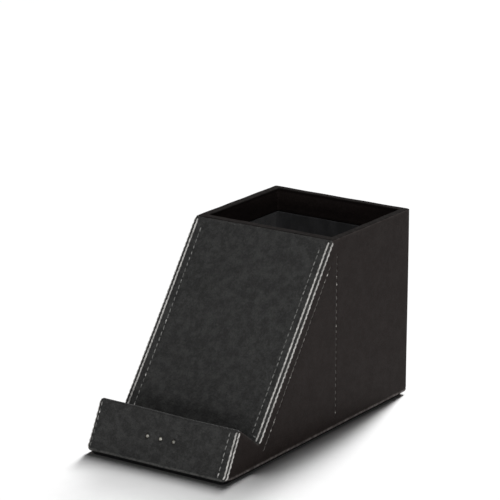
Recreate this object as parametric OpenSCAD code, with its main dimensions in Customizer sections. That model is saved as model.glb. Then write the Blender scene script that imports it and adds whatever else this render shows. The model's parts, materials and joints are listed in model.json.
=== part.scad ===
// Leather covered desk stand: a slanted wireless charging face with a phone ledge in
// front and an open pen cup behind. Millimetres, +Z up. The object faces -Y, and the
// origin is on the floor below the middle of its footprint.

/* [Overall] */
// Width over the side covers
body_w = 84; // [80:1:110]
// Depth from the lip's foot to the back cover
body_d = 171; // [160:1:220]
// Height from the floor to the rim of the pen cup
body_h = 103; // [90:1:130]

/* [Front profile] */
// Angle of the charging face above the horizontal
face_angle = 53.4; // [50:0.2:58]
// How far the lip's top edge stands back from its foot
lip_top_y = 13.0; // [8:0.5:15]
// Height of the lip's top edge above the floor
lip_top_z = 25.8; // [24:0.2:32]
// Depth of the phone ledge, square to the charging face
ledge_depth = 20.9; // [16:0.1:22]

/* [Boards and skins] */
// Thickness of the leather covers
leather_t = 1.0; // [0.8:0.1:1.4]
// Thickness of the side, lip, ledge, divider, back and floor boards
board_t = 2.5; // [2:0.1:3.2]
// Thickness of the board behind the charging face
charging_board_t = 3.2; // [3:0.1:4]
// Thickness of the base board
base_board_t = 3.0; // [2.5:0.1:4]
// Thickness of the non-slip pad under the base
pad_t = 1.6; // [1.2:0.1:2.4]
// How far the pad's edge stands in from the covers
pad_inset = 1.0; // [0.6:0.1:3]
// Corner radius of the pad
pad_corner_r = 2.5; // [1:0.5:6]
// Thickness of the suede lining in the pen cup
lining_t = 0.6; // [0.4:0.1:1]
// How far the rim's leather turns down inside the pen cup
rim_turn_in = 12; // [8:1:20]

/* [Pen cup] */
// Gap from the top of the charging face back to the divider board
divider_gap = 2.6; // [2.2:0.1:6]
// Height of the hidden space between the base board and the cup's floor
underfloor_h = 12.4; // [12.4:0.2:20]
// Width of the rails that carry the cup's floor
rail_w = 5; // [4:0.5:8]

/* [Wireless charger] */
// Height of the coil's centre up the charging face, from the ledge
coil_up = 64; // [50:1:66]
// Outer diameter of the coil
coil_d = 44; // [38:1:48]
// Diameter of the hole in the coil
coil_hole_d = 20.5; // [16:0.5:24]
// Thickness of the coil
coil_t = 1.2; // [0.9:0.1:1.2]
// Diameter of the ferrite sheet
ferrite_d = 50; // [48.5:0.5:54]
// Thickness of the ferrite sheet
ferrite_t = 0.8; // [0.5:0.1:0.8]
// Gap around the ferrite sheet in its pocket
pocket_gap = 0.5; // [0.3:0.1:1]
// Thickness of the tray that closes the coil's pocket
tray_t = 1.6; // [1.2:0.1:2.5]
// Rim of the tray beyond the coil's pocket
tray_rim = 7; // [6:0.5:8]
// Shank diameter of the small screws
screw_d = 2.2; // [2:0.1:2.6]
// Head diameter of the small screws
screw_head_d = 4.2; // [4:0.1:5]
// Head height of the small screws
screw_head_h = 1.4; // [1:0.1:1.8]

/* [Control board] */
// Width of the control board
pcb_w = 50; // [46:1:60]
// Length of the control board
pcb_l = 34; // [30:1:42]
// Thickness of the control board
pcb_t = 1.6; // [1:0.2:1.6]
// Height of the standoffs below the control board
standoff_h = 3.0; // [2.5:0.5:5]
// Diameter of the standoffs
standoff_d = 5.0; // [4.5:0.5:6]
// Distance from the control board's edges to its fixing holes
pcb_hole_inset = 3.5; // [3:0.5:5]

/* [Inlet] */
// Width of the power socket's shell
socket_w = 8.94; // [8:0.02:9]
// Height of the power socket's shell
socket_h = 3.26; // [2.8:0.02:3.3]
// Length of the power socket
socket_l = 7.4; // [6.5:0.1:8]
// Wall of the power socket's shell
socket_wall = 0.3; // [0.2:0.05:0.35]
// Width of the opening that takes the plug's grip
inlet_w = 13.2; // [12:0.2:15]
// Height of the opening that takes the plug's grip
inlet_h = 7.4; // [6.8:0.2:8]
// Corner radius of that opening
inlet_corner_r = 2.0; // [1:0.2:3]
// Wall of the inlet's bezel
bezel_wall = 1.2; // [0.8:0.1:1.5]
// Width of the bezel's flange behind the back board
bezel_flange = 1.2; // [0.8:0.1:1.4]
// Thickness of the bezel's flange
bezel_flange_t = 1.2; // [0.8:0.1:1.6]

/* [Indicator lights] */
// Number of indicator lights
led_count = 3; // [1:1:5]
// Distance between the indicator lights
led_pitch = 8.0; // [6:0.5:10]
// Sideways place of the row of lights, from the middle
led_shift = -1.5; // [-5:0.5:5]
// Place of the lights up the lip, as a share of its slope
led_up = 0.52; // [0.4:0.01:0.6]
// Diameter of each light's lens
lens_d = 2.0; // [1.5:0.1:3]

/* [Stitching] */
// Width of each row of thread
thread_w = 0.8; // [0.6:0.1:1]
// How far the thread stands proud of the leather
thread_proud = 0.2; // [0.1:0.05:0.25]
// Depth of the groove that the thread lies in
groove_depth = 0.4; // [0.2:0.05:0.5]
// Inset of the corner row from the side leather, on the front faces
corner_row_inset = 0.5; // [0.5:0.1:0.8]
// Inset of the corner row from the front edges, on the sides
side_edge_inset = 0.7; // [0.6:0.1:1.2]
// Inset of the second row from the side, on the front faces
second_row_inset = 5.0; // [4:0.1:8]
// Inset of the second row on the sides, below the charging face
side_row_inset = 6.3; // [5:0.1:9]
// Place of the upright row on the sides, back from the divider board's front
upright_row_inset = 1.4; // [0:0.1:2.4]

/* [Hidden] */

$fn = 48;

// Small gap between parts that slot together
fit_gap = 0.1;
// How far a cutting shape runs past the surface it cuts
over = 1;

// Levels
foot_z = pad_t;
base_top = foot_z + base_board_t;
floor_z = base_top + underfloor_h;
floor_top = floor_z + board_t;
board_top = body_h - leather_t;
// The outer boards end above the pad, where the leather turns under them
wall_foot_z = foot_z + 0.6;

// Widths
half_w = body_w / 2;
cover_in_x = half_w - leather_t;
board_in_x = cover_in_x - board_t;
cup_half_w = board_in_x - lining_t;

// Lengths, measured back from the lip's foot
back_board_y = body_d - leather_t - board_t;

// Each straight stretch of the profile is a line: an outward normal and the distance
// of the line along it. A skin or a board lies between two lines that are parallel to it.
lip_lean = atan2(lip_top_y, lip_top_z - foot_z);
lip_n = [-cos(lip_lean), sin(lip_lean)];
ledge_n = [cos(face_angle), sin(face_angle)];
face_n = [-sin(face_angle), cos(face_angle)];
top_n = [0, 1];
back_n = [1, 0];
lip_foot = [0, foot_z];
lip_top = [lip_top_y, lip_top_z];
notch = lip_top - ledge_depth * face_n;
lip_len = norm(lip_top - lip_foot);
face_len = (body_h - notch.y) / sin(face_angle);
face_top_y = notch.x + face_len * cos(face_angle);

// Pen cup, behind the charging face
divider_y = face_top_y + divider_gap;
divider_back = divider_y + board_t;
cup_y0 = divider_back + lining_t;
cup_y1 = back_board_y - lining_t;

function lip_line(depth) = [lip_n, lip_n * lip_foot - depth];
function ledge_line(depth) = [ledge_n, ledge_n * lip_top - depth];
function face_line(depth) = [face_n, face_n * notch - depth];
function level(z) = [top_n, z];
function upright(y) = [back_n, y];

// Crossing point of two lines
function meet(a, b) =
    let (det = a[0].x * b[0].y - a[0].y * b[0].x)
    [(a[1] * b[0].y - b[1] * a[0].y) / det, (a[0].x * b[1] - b[0].x * a[1]) / det];

// Outline of the whole side, drawn in by the given depth all round but the foot
function side_outline(depth, foot) = [
    meet(lip_line(depth), level(foot)),
    meet(lip_line(depth), ledge_line(depth)),
    meet(ledge_line(depth), face_line(depth)),
    meet(face_line(depth), level(body_h - depth)),
    meet(upright(body_d - depth), level(body_h - depth)),
    meet(upright(body_d - depth), level(foot))];

// Depths of the faces behind the outer skin
board_back = leather_t + board_t;
charging_back = leather_t + charging_board_t;
tray_back = charging_back + tray_t;

// Charger
pocket_d = ferrite_d + 2 * pocket_gap;
pocket_depth = coil_t + ferrite_t;
tray_half = pocket_d / 2 + tray_rim;
tray_hole_at = tray_half - screw_head_d / 2 - 1;
tray_screw_l = tray_t + charging_board_t - 0.8;

// Cable notches through the feet of the charging and divider boards
notch_w = 20;
notch_h = 5;

// Control board
pcb_top = base_top + standoff_h + pcb_t;
socket_mouth_y = back_board_y - bezel_flange_t;
pcb_y1 = socket_mouth_y - 0.5;
pcb_y0 = pcb_y1 - pcb_l;
socket_z = pcb_top + socket_h / 2;
pcb_screw_l = pcb_t + standoff_h + base_board_t - 0.6;

// Indicator lights, from the lip's skin inwards
led_t = 0.6;
led_board_t = 1.0;
led_board_w = (led_count - 1) * led_pitch + 10;
led_board_l = 8;

// Ribbons
ribbon_w = 4;
ribbon_t = 0.8;
ribbon_x = 5;
ribbon_z = base_top + ribbon_t / 2;

// Thread
thread_gap = 0.05;
thread_t = groove_depth + thread_proud;
ledge_end_gap = 1.0;
corner_row_end = 1.5;
second_row_start = 4;
second_row_end = 6;
side_row_start = -2;
upright_row_z0 = 8;
apex_gap = 1.2;

module at_middle() {
    translate([0, -body_d / 2, 0]) children();
}

// A profile drawn in y and z, as a slab between two x values
module slab(points, x0, x1) {
    translate([x0, 0, 0])
        rotate([90, 0, 90])
            linear_extrude(x1 - x0) polygon(points);
}

module block(x0, x1, y0, y1, z0, z1) {
    translate([x0, y0, z0]) cube([x1 - x0, y1 - y0, z1 - z0]);
}

// Frame on the lip: x across, y up the lip from its foot, z out of the leather
module on_lip() {
    translate([0, lip_foot.x, lip_foot.y]) rotate([90 - lip_lean, 0, 0]) children();
}

// Frame on the charging face: x across, y up the face from the ledge, z out of it
module on_face() {
    translate([0, notch.x, notch.y]) rotate([face_angle, 0, 0]) children();
}

// Frame on the right side: x back from the lip's foot, y up, z out of the leather
module on_side() {
    translate([half_w, 0, 0]) rotate([90, 0, 90]) children();
}

// One straight row of thread on the plane z = 0, from a to b
module row(a, b, grow, low, high) {
    along = b - a;
    translate([a.x, a.y, 0])
        rotate([0, 0, atan2(along.y, along.x)])
            translate([-grow, -thread_w / 2 - grow, low])
                cube([norm(along) + 2 * grow, thread_w + 2 * grow, high - low]);
}

module thread_row(a, b) {
    row(a, b, 0, -groove_depth, thread_proud);
}

module groove_row(a, b) {
    row(a, b, thread_gap, -groove_depth, over);
}

// Ends of each row: corner and second rows on the lip and the charging face
lip_row_ends = [corner_row_end, lip_len - corner_row_end];
face_row_ends = [ledge_end_gap + thread_w, face_len - corner_row_end];
face_second_ends = [second_row_start, face_len - second_row_end];
corner_x = cover_in_x - corner_row_inset;
second_x = half_w - second_row_inset;

// Rows on the right side, in its y and z
side_lip_a = meet(lip_line(side_edge_inset), level(foot_z + corner_row_end));
side_lip_b = meet(lip_line(side_edge_inset), ledge_line(corner_row_end));
side_face_a = meet(face_line(side_edge_inset), ledge_line(-ledge_end_gap));
side_face_b = meet(face_line(side_edge_inset), level(body_h - corner_row_end));
side_row_a = meet(face_line(side_row_inset), ledge_line(-side_row_start));
upright_row_y = divider_y + upright_row_inset;
side_row_b = meet(face_line(side_row_inset), upright(upright_row_y - apex_gap));
upright_a = [upright_row_y, upright_row_z0];
upright_b = [upright_row_y, side_row_b.y - apex_gap];

module base_pad() {
    front = meet(lip_line(0), level(foot_z)).x + pad_inset;
    color([0.05, 0.05, 0.05])
        at_middle()
            translate([0, (front + body_d - pad_inset) / 2, 0])
                rounded_plate(body_w - 2 * pad_inset, body_d - pad_inset - front,
                    pad_corner_r, pad_t);
}

// A flat plate with round corners, centred in x and y
module rounded_plate(width, length, radius, height) {
    linear_extrude(height) {
        square([width - 2 * radius, length], center = true);
        square([width, length - 2 * radius], center = true);
        for (sx = [-1, 1], sy = [-1, 1])
            translate([sx * (width / 2 - radius), sy * (length / 2 - radius)])
                circle(radius);
    }
}

module base_board() {
    color([0.55, 0.42, 0.3])
        at_middle()
            difference() {
                slab([
                    meet(lip_line(board_back), level(foot_z)),
                    meet(lip_line(board_back), level(base_top)),
                    [back_board_y, base_top],
                    [back_board_y, foot_z]], -board_in_x, board_in_x);
                pcb_holes()
                    translate([0, 0, foot_z + 0.6]) cylinder(d = screw_d, h = base_board_t);
            }
}

// Places its children at the control board's four fixing holes
module pcb_holes() {
    for (sx = [-1, 1], y = [pcb_y0 + pcb_hole_inset, pcb_y1 - pcb_hole_inset])
        translate([sx * (pcb_w / 2 - pcb_hole_inset), y, 0]) children();
}

module side_board(side) {
    color([0.55, 0.42, 0.3])
        at_middle()
            mirror([side < 0 ? 1 : 0, 0, 0])
                slab(side_outline(leather_t, wall_foot_z), board_in_x, cover_in_x);
}

module side_board_left() {
    side_board(-1);
}

module side_board_right() {
    side_board(1);
}

// Places its children at each indicator light, on the lip
module at_lights() {
    on_lip()
        for (i = [0 : led_count - 1])
            translate([led_shift + (i - (led_count - 1) / 2) * led_pitch, lip_len * led_up, 0])
                children();
}

module light_hole() {
    translate([0, 0, -board_back - over])
        cylinder(d = lens_d + 2 * fit_gap, h = board_back + 2 * over);
}

module lip_board() {
    color([0.55, 0.42, 0.3])
        at_middle()
            difference() {
                slab([
                    meet(lip_line(leather_t), level(wall_foot_z)),
                    meet(lip_line(leather_t), ledge_line(leather_t)),
                    meet(lip_line(board_back), ledge_line(leather_t)),
                    meet(lip_line(board_back), level(wall_foot_z))], -board_in_x, board_in_x);
                at_lights() light_hole();
            }
}

module ledge_board() {
    color([0.55, 0.42, 0.3])
        at_middle()
            slab([
                meet(lip_line(board_back), ledge_line(leather_t)),
                meet(face_line(leather_t), ledge_line(leather_t)),
                meet(face_line(leather_t), ledge_line(board_back)),
                meet(lip_line(board_back), ledge_line(board_back))], -board_in_x, board_in_x);
}

module charging_board() {
    color([0.6, 0.47, 0.34])
        at_middle()
            difference() {
                slab([
                    meet(face_line(leather_t), level(base_top)),
                    meet(face_line(leather_t), level(board_top)),
                    meet(upright(divider_y), level(board_top)),
                    meet(upright(divider_y), face_line(charging_back)),
                    meet(face_line(charging_back), level(base_top))], -board_in_x, board_in_x);
                on_face()
                    translate([0, coil_up, -charging_back - over])
                        cylinder(d = pocket_d, h = pocket_depth + over, $fn = 96);
                on_face()
                    tray_holes()
                        translate([0, 0, -tray_back])
                            cylinder(d = screw_d, h = tray_screw_l);
                cable_notch(0, divider_y - over);
            }
}

// Space at the foot of a board, from y0 to y1, for the ribbons
module cable_notch(y0, y1) {
    block(-notch_w / 2, notch_w / 2, y0, y1, base_top - over, base_top + notch_h);
}

// Places its children at the coil tray's four screws, on the charging face
module tray_holes() {
    for (sx = [-1, 1], sy = [-1, 1])
        translate([sx * tray_hole_at, coil_up + sy * tray_hole_at, 0]) children();
}

module divider_board() {
    color([0.55, 0.42, 0.3])
        at_middle()
            difference() {
                block(-board_in_x, board_in_x, divider_y, divider_back, base_top, board_top);
                cable_notch(divider_y - over, divider_back + over);
            }
}

// The inlet's opening, grown all round and drawn from y0 back to y1
module inlet_block(grow, y0, y1) {
    translate([0, y1, socket_z])
        rotate([90, 0, 0])
            rounded_plate(inlet_w + 2 * grow, inlet_h + 2 * grow, inlet_corner_r + grow, y1 - y0);
}

// Hole through the back wall for the inlet's bezel
module inlet_hole() {
    inlet_block(bezel_wall + fit_gap, back_board_y - over, body_d + over);
}

module back_board() {
    color([0.55, 0.42, 0.3])
        at_middle()
            difference() {
                block(-board_in_x, board_in_x, back_board_y, body_d - leather_t,
                    wall_foot_z, board_top);
                inlet_hole();
            }
}

module cup_floor() {
    color([0.55, 0.42, 0.3])
        at_middle()
            block(-board_in_x, board_in_x, divider_back, back_board_y, floor_z, floor_top);
}

module floor_rail(side) {
    color([0.66, 0.53, 0.38])
        at_middle()
            mirror([side < 0 ? 1 : 0, 0, 0])
                block(board_in_x - rail_w, board_in_x, divider_back, back_board_y,
                    base_top, floor_z);
}

module floor_rail_left() {
    floor_rail(-1);
}

module floor_rail_right() {
    floor_rail(1);
}

module side_cover(side) {
    color([0.18, 0.165, 0.16])
        at_middle()
            mirror([side < 0 ? 1 : 0, 0, 0])
                difference() {
                    slab(side_outline(0, foot_z), cover_in_x, half_w);
                    on_side() side_rows("groove");
                    on_side() edge_rows("groove");
                }
}

module side_cover_left() {
    side_cover(-1);
}

module side_cover_right() {
    side_cover(1);
}

module thread_or_groove(what, a, b) {
    if (what == "groove")
        groove_row(a, b);
    else
        thread_row(a, b);
}

// Rows that run beside the front edges of the right side
module edge_rows(what) {
    thread_or_groove(what, side_lip_a, side_lip_b);
    thread_or_groove(what, side_face_a, side_face_b);
}

// Second row below the charging face, and the upright row behind it
module side_rows(what) {
    thread_or_groove(what, side_row_a, side_row_b);
    thread_or_groove(what, upright_a, upright_b);
}

// Corner row on the front of the lip, on the right
module lip_corner_row(what) {
    thread_or_groove(what, [corner_x, lip_row_ends[0]], [corner_x, lip_row_ends[1]]);
}

// Second row on the front of the lip, on the right only
module lip_second_row(what) {
    thread_or_groove(what, [second_x, lip_row_ends[0]], [second_x, lip_row_ends[1]]);
}

module face_corner_row(what) {
    thread_or_groove(what, [corner_x, face_row_ends[0]], [corner_x, face_row_ends[1]]);
}

module face_second_row(what) {
    thread_or_groove(what, [second_x, face_second_ends[0]], [second_x, face_second_ends[1]]);
}

module lip_cover() {
    color([0.2, 0.2, 0.2])
        at_middle()
            difference() {
                slab([
                    meet(lip_line(0), level(foot_z)),
                    meet(lip_line(0), ledge_line(0)),
                    meet(lip_line(leather_t), ledge_line(leather_t)),
                    meet(lip_line(leather_t), level(foot_z))], -cover_in_x, cover_in_x);
                at_lights() light_hole();
                on_lip() lip_corner_row("groove");
                on_lip() lip_second_row("groove");
                on_lip() mirror([1, 0, 0]) lip_corner_row("groove");
            }
}

module ledge_cover() {
    color([0.2, 0.2, 0.2])
        at_middle()
            slab([
                meet(lip_line(0), ledge_line(0)),
                meet(face_line(0), ledge_line(0)),
                meet(face_line(leather_t), ledge_line(leather_t)),
                meet(lip_line(leather_t), ledge_line(leather_t))], -cover_in_x, cover_in_x);
}

module charging_cover() {
    color([0.2, 0.2, 0.2])
        at_middle()
            difference() {
                slab([
                    meet(face_line(0), ledge_line(0)),
                    meet(face_line(0), level(body_h)),
                    meet(face_line(leather_t), level(body_h)),
                    meet(face_line(leather_t), ledge_line(leather_t))], -cover_in_x, cover_in_x);
                for (side = [0, 1])
                    on_face()
                        mirror([side, 0, 0]) {
                            face_corner_row("groove");
                            face_second_row("groove");
                        }
            }
}

module back_cover() {
    color([0.18, 0.165, 0.16])
        at_middle()
            difference() {
                block(-cover_in_x, cover_in_x, body_d - leather_t, body_d, foot_z, body_h);
                inlet_hole();
            }
}

// Leather over the top edges of the cup's four walls, turned down inside them
module rim_binding() {
    color([0.18, 0.165, 0.16])
        at_middle()
            difference() {
                union() {
                    slab([
                        meet(face_line(leather_t), level(board_top)),
                        meet(face_line(leather_t), level(body_h)),
                        [body_d - leather_t, body_h],
                        [body_d - leather_t, board_top]], -cover_in_x, cover_in_x);
                    block(-board_in_x, board_in_x, divider_back, back_board_y,
                        board_top - rim_turn_in, board_top);
                }
                block(-cup_half_w, cup_half_w, cup_y0, cup_y1,
                    board_top - rim_turn_in - over, body_h + over);
            }
}

lining_z0 = floor_top + lining_t;
lining_z1 = board_top - rim_turn_in;

module cup_lining_side(side) {
    color([0.1, 0.1, 0.11])
        at_middle()
            mirror([side < 0 ? 1 : 0, 0, 0])
                block(cup_half_w, board_in_x, divider_back, back_board_y, lining_z0, lining_z1);
}

module cup_lining_left() {
    cup_lining_side(-1);
}

module cup_lining_right() {
    cup_lining_side(1);
}

module cup_lining_front() {
    color([0.1, 0.1, 0.11])
        at_middle()
            block(-cup_half_w, cup_half_w, divider_back, cup_y0, lining_z0, lining_z1);
}

module cup_lining_back() {
    color([0.1, 0.1, 0.11])
        at_middle()
            block(-cup_half_w, cup_half_w, cup_y1, back_board_y, lining_z0, lining_z1);
}

module cup_lining_floor() {
    color([0.1, 0.1, 0.11])
        at_middle()
            block(-board_in_x, board_in_x, divider_back, back_board_y, floor_top, lining_z0);
}

module charging_coil() {
    color([0.72, 0.42, 0.2])
        at_middle()
            on_face()
                translate([0, coil_up, -charging_back + ferrite_t])
                    difference() {
                        cylinder(d = coil_d, h = coil_t, $fn = 96);
                        translate([0, 0, -over])
                            cylinder(d = coil_hole_d, h = coil_t + 2 * over, $fn = 96);
                    }
}

module ferrite_sheet() {
    color([0.25, 0.25, 0.27])
        at_middle()
            on_face()
                translate([0, coil_up, -charging_back])
                    cylinder(d = ferrite_d, h = ferrite_t, $fn = 96);
}

module coil_tray() {
    color([0.15, 0.15, 0.16])
        at_middle()
            on_face()
                difference() {
                    translate([0, coil_up, -tray_back])
                        rounded_plate(2 * tray_half, 2 * tray_half, 4, tray_t);
                    tray_holes()
                        translate([0, 0, -tray_back - over])
                            cylinder(d = screw_d + 2 * fit_gap, h = tray_t + 2 * over);
                }
}

// A screw whose head's underside is at z = 0 and whose shank points up
module screw(length) {
    cylinder(d = screw_d, h = length);
    translate([0, 0, -screw_head_h])
        difference() {
            cylinder(d = screw_head_d, h = screw_head_h);
            for (turn = [0, 90])
                rotate([0, 0, turn])
                    translate([-1.1, -0.3, -over])
                        cube([2.2, 0.6, over + screw_head_h / 2]);
        }
}

module tray_screws() {
    color([0.6, 0.6, 0.62])
        at_middle()
            on_face()
                tray_holes()
                    translate([0, 0, -tray_back]) screw(tray_screw_l);
}

module control_board() {
    color([0.05, 0.3, 0.16])
        at_middle()
            difference() {
                block(-pcb_w / 2, pcb_w / 2, pcb_y0, pcb_y1, pcb_top - pcb_t, pcb_top);
                pcb_holes()
                    translate([0, 0, pcb_top - pcb_t - over])
                        cylinder(d = screw_d + 2 * fit_gap, h = pcb_t + 2 * over);
            }
}

module board_standoffs() {
    color([0.85, 0.85, 0.82])
        at_middle()
            pcb_holes()
                translate([0, 0, base_top])
                    difference() {
                        cylinder(d = standoff_d, h = standoff_h);
                        translate([0, 0, -over])
                            cylinder(d = screw_d + 2 * fit_gap, h = standoff_h + 2 * over);
                    }
}

module board_screws() {
    color([0.6, 0.6, 0.62])
        at_middle()
            pcb_holes()
                translate([0, 0, pcb_top]) mirror([0, 0, 1]) screw(pcb_screw_l);
}

// A chip on the control board, from its centre's place on the board
module chip(x, y, width, length, height) {
    translate([x - width / 2, pcb_y0 + y - length / 2, pcb_top]) cube([width, length, height]);
}

module control_chips() {
    color([0.08, 0.08, 0.08])
        at_middle() {
            chip(-4, 14, 7, 7, 0.9);
            chip(-15, 21, 5, 4, 1.5);
            chip(6, 21, 3, 3, 0.9);
        }
}

module resonant_capacitors() {
    color([0.75, 0.6, 0.4])
        at_middle()
            for (i = [0 : 3])
                chip(8 + 3.6 * i, 8, 2.6, 3.4, 2.2);
}

module power_inductor() {
    color([0.3, 0.3, 0.32])
        at_middle()
            translate([16, pcb_y0 + 18, pcb_top]) cylinder(d = 7, h = 3.2);
}

// The socket's rounded outline, drawn in by the given amount
module socket_outline(inset) {
    h = socket_h - 2 * inset;
    w = socket_w - 2 * inset;
    square([w - h, h], center = true);
    for (side = [-1, 1])
        translate([side * (w - h) / 2, 0]) circle(d = h);
}

module at_socket() {
    translate([0, socket_mouth_y, socket_z]) rotate([90, 0, 0]) children();
}

socket_back_t = 1.2;
tongue_t = 0.7;
tongue_w = 6.7;
tongue_short = 0.6;

module usb_socket() {
    color([0.75, 0.75, 0.77])
        at_middle()
            at_socket()
                difference() {
                    linear_extrude(socket_l) socket_outline(0);
                    translate([0, 0, -over])
                        linear_extrude(socket_l - socket_back_t + over)
                            socket_outline(socket_wall);
                }
}

module socket_tongue() {
    color([0.08, 0.08, 0.08])
        at_middle()
            at_socket()
                translate([-tongue_w / 2, -tongue_t / 2, tongue_short])
                    cube([tongue_w, tongue_t, socket_l - socket_back_t - tongue_short]);
}

// Plastic frame around the plug's opening, flush with the back cover
module socket_bezel() {
    color([0.1, 0.1, 0.1])
        at_middle()
            difference() {
                union() {
                    inlet_block(bezel_wall, socket_mouth_y, body_d);
                    inlet_block(bezel_wall + bezel_flange, socket_mouth_y, back_board_y);
                }
                inlet_block(0, socket_mouth_y - over, body_d + over);
            }
}

module led_board() {
    color([0.05, 0.3, 0.16])
        at_middle()
            on_lip()
                translate([led_shift - led_board_w / 2, lip_len * led_up - led_board_l / 2,
                    -board_back - led_t - led_board_t])
                    cube([led_board_w, led_board_l, led_board_t]);
}

// Foam pads that hold the light board off the lip board, beyond the end lights
module led_tape() {
    tape_w = 3;
    color([0.9, 0.9, 0.88])
        at_middle()
            on_lip()
                for (x = [led_shift - led_board_w / 2, led_shift + led_board_w / 2 - tape_w])
                    translate([x, lip_len * led_up - led_board_l / 2, -board_back - led_t])
                        cube([tape_w, led_board_l, led_t]);
}

module indicator_leds() {
    color([0.95, 0.95, 0.85])
        at_middle()
            at_lights()
                translate([-0.8, -0.4, -board_back - led_t]) cube([1.6, 0.8, led_t]);
}

module indicator_lenses() {
    color([0.95, 0.95, 0.9])
        at_middle()
            at_lights()
                translate([0, 0, -board_back]) cylinder(d = lens_d, h = board_back);
}

// One edge of a ribbon: the points moved sideways, with square ends and mitred bends
function ribbon_edge(points, shift) =
    let (last = len(points) - 1,
        ways = [for (i = [0 : last - 1])
            (points[i + 1] - points[i]) / norm(points[i + 1] - points[i])],
        sides = [for (way = ways) [-way.y, way.x]],
        lines = [for (i = [0 : last - 1]) [sides[i], sides[i] * points[i] + shift]])
    concat([points[0] + shift * sides[0]],
        [for (i = [1 : last - 1]) meet(lines[i - 1], lines[i])],
        [points[last] + shift * sides[last - 1]]);

function reversed(list) = [for (i = [len(list) - 1 : -1 : 0]) list[i]];

// A flat ribbon through points in y and z
module ribbon(points, x) {
    slab(concat(ribbon_edge(points, -ribbon_t / 2), reversed(ribbon_edge(points, ribbon_t / 2))),
        x - ribbon_w / 2, x + ribbon_w / 2);
}

// From the back of the coil's tray to the front of the control board
module coil_ribbon() {
    lie = face_line(tray_back + ribbon_t / 2);
    start = meet(lie, ledge_line(-coil_up));
    leave = meet(lie, ledge_line(-coil_up + tray_half - 4));
    drop_y = meet(lie, ledge_line(-coil_up + tray_half + 2)).x + 6;
    color([0.75, 0.3, 0.15])
        at_middle()
            ribbon([start, leave, [drop_y, leave.y - 14], [drop_y, ribbon_z],
                [pcb_y0 - 6, ribbon_z], [pcb_y0 - 2, pcb_top + ribbon_t / 2],
                [pcb_y0 + 3, pcb_top + ribbon_t / 2]], ribbon_x);
}

// From the back of the light board to the front of the control board
module led_ribbon() {
    lie = lip_line(board_back + led_t + led_board_t + ribbon_t / 2);
    start = lip_foot + led_up * (lip_top - lip_foot) - lip_n * (lip_line(0)[1] - lie[1]);
    color([0.75, 0.3, 0.15])
        at_middle()
            ribbon([start, meet(lie, level(ribbon_z)), [pcb_y0 - 6, ribbon_z],
                [pcb_y0 - 2, pcb_top + ribbon_t / 2],
                [pcb_y0 + 3, pcb_top + ribbon_t / 2]], -ribbon_x);
}

// Thread along the corner between the front faces and one side
module corner_stitching(side) {
    color([0.66, 0.65, 0.63])
        at_middle()
            mirror([side < 0 ? 1 : 0, 0, 0]) {
                on_lip() lip_corner_row("thread");
                on_face() face_corner_row("thread");
                on_side() edge_rows("thread");
            }
}

module corner_stitching_left() {
    corner_stitching(-1);
}

module corner_stitching_right() {
    corner_stitching(1);
}

module face_stitching_left() {
    color([0.45, 0.45, 0.44])
        at_middle()
            mirror([1, 0, 0])
                on_face() face_second_row("thread");
}

module face_stitching_right() {
    color([0.45, 0.45, 0.44])
        at_middle() {
            on_face() face_second_row("thread");
            on_lip() lip_second_row("thread");
        }
}

module side_stitching(side) {
    color([0.35, 0.34, 0.33])
        at_middle()
            mirror([side < 0 ? 1 : 0, 0, 0])
                on_side() side_rows("thread");
}

module side_stitching_left() {
    side_stitching(-1);
}

module side_stitching_right() {
    side_stitching(1);
}

base_pad();
base_board();
side_board_left();
side_board_right();
lip_board();
ledge_board();
charging_board();
divider_board();
back_board();
cup_floor();
floor_rail_left();
floor_rail_right();
side_cover_left();
side_cover_right();
lip_cover();
ledge_cover();
charging_cover();
back_cover();
rim_binding();
cup_lining_left();
cup_lining_right();
cup_lining_front();
cup_lining_back();
cup_lining_floor();
charging_coil();
ferrite_sheet();
coil_tray();
tray_screws();
control_board();
board_standoffs();
board_screws();
control_chips();
resonant_capacitors();
power_inductor();
usb_socket();
socket_tongue();
socket_bezel();
led_board();
led_tape();
indicator_leds();
indicator_lenses();
coil_ribbon();
led_ribbon();
corner_stitching_left();
corner_stitching_right();
face_stitching_left();
face_stitching_right();
side_stitching_left();
side_stitching_right();
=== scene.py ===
"""Looks of the leather desk stand with a wireless charging face and a pen cup.

Sheets of leather, threads, foam and suede are built here around the fixed CAD frame.
Lengths are in millimetres until a mesh is made, and in metres from there on.
"""
import json
import math

import bpy
import bmesh
import numpy as np
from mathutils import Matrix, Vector
from mathutils.geometry import delaunay_2d_cdt

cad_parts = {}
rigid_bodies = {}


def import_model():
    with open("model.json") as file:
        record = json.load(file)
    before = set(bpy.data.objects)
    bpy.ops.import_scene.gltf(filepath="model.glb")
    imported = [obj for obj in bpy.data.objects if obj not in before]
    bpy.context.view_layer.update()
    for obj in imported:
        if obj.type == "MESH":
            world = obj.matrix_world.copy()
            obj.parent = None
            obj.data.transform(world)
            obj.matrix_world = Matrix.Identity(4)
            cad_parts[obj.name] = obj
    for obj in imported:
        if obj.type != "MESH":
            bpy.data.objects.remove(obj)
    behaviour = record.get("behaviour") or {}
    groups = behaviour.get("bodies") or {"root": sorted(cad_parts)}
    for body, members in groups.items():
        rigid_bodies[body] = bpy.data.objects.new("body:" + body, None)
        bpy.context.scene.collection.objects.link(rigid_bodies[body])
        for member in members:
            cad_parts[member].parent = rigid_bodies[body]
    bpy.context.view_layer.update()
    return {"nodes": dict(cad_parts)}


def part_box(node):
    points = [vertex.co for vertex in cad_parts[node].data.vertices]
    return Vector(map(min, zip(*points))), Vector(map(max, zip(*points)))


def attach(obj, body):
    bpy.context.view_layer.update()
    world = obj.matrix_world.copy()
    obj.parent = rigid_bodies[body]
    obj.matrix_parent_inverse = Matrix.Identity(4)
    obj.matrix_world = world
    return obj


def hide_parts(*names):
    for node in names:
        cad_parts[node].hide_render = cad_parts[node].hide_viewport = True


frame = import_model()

MM = 0.001
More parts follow.
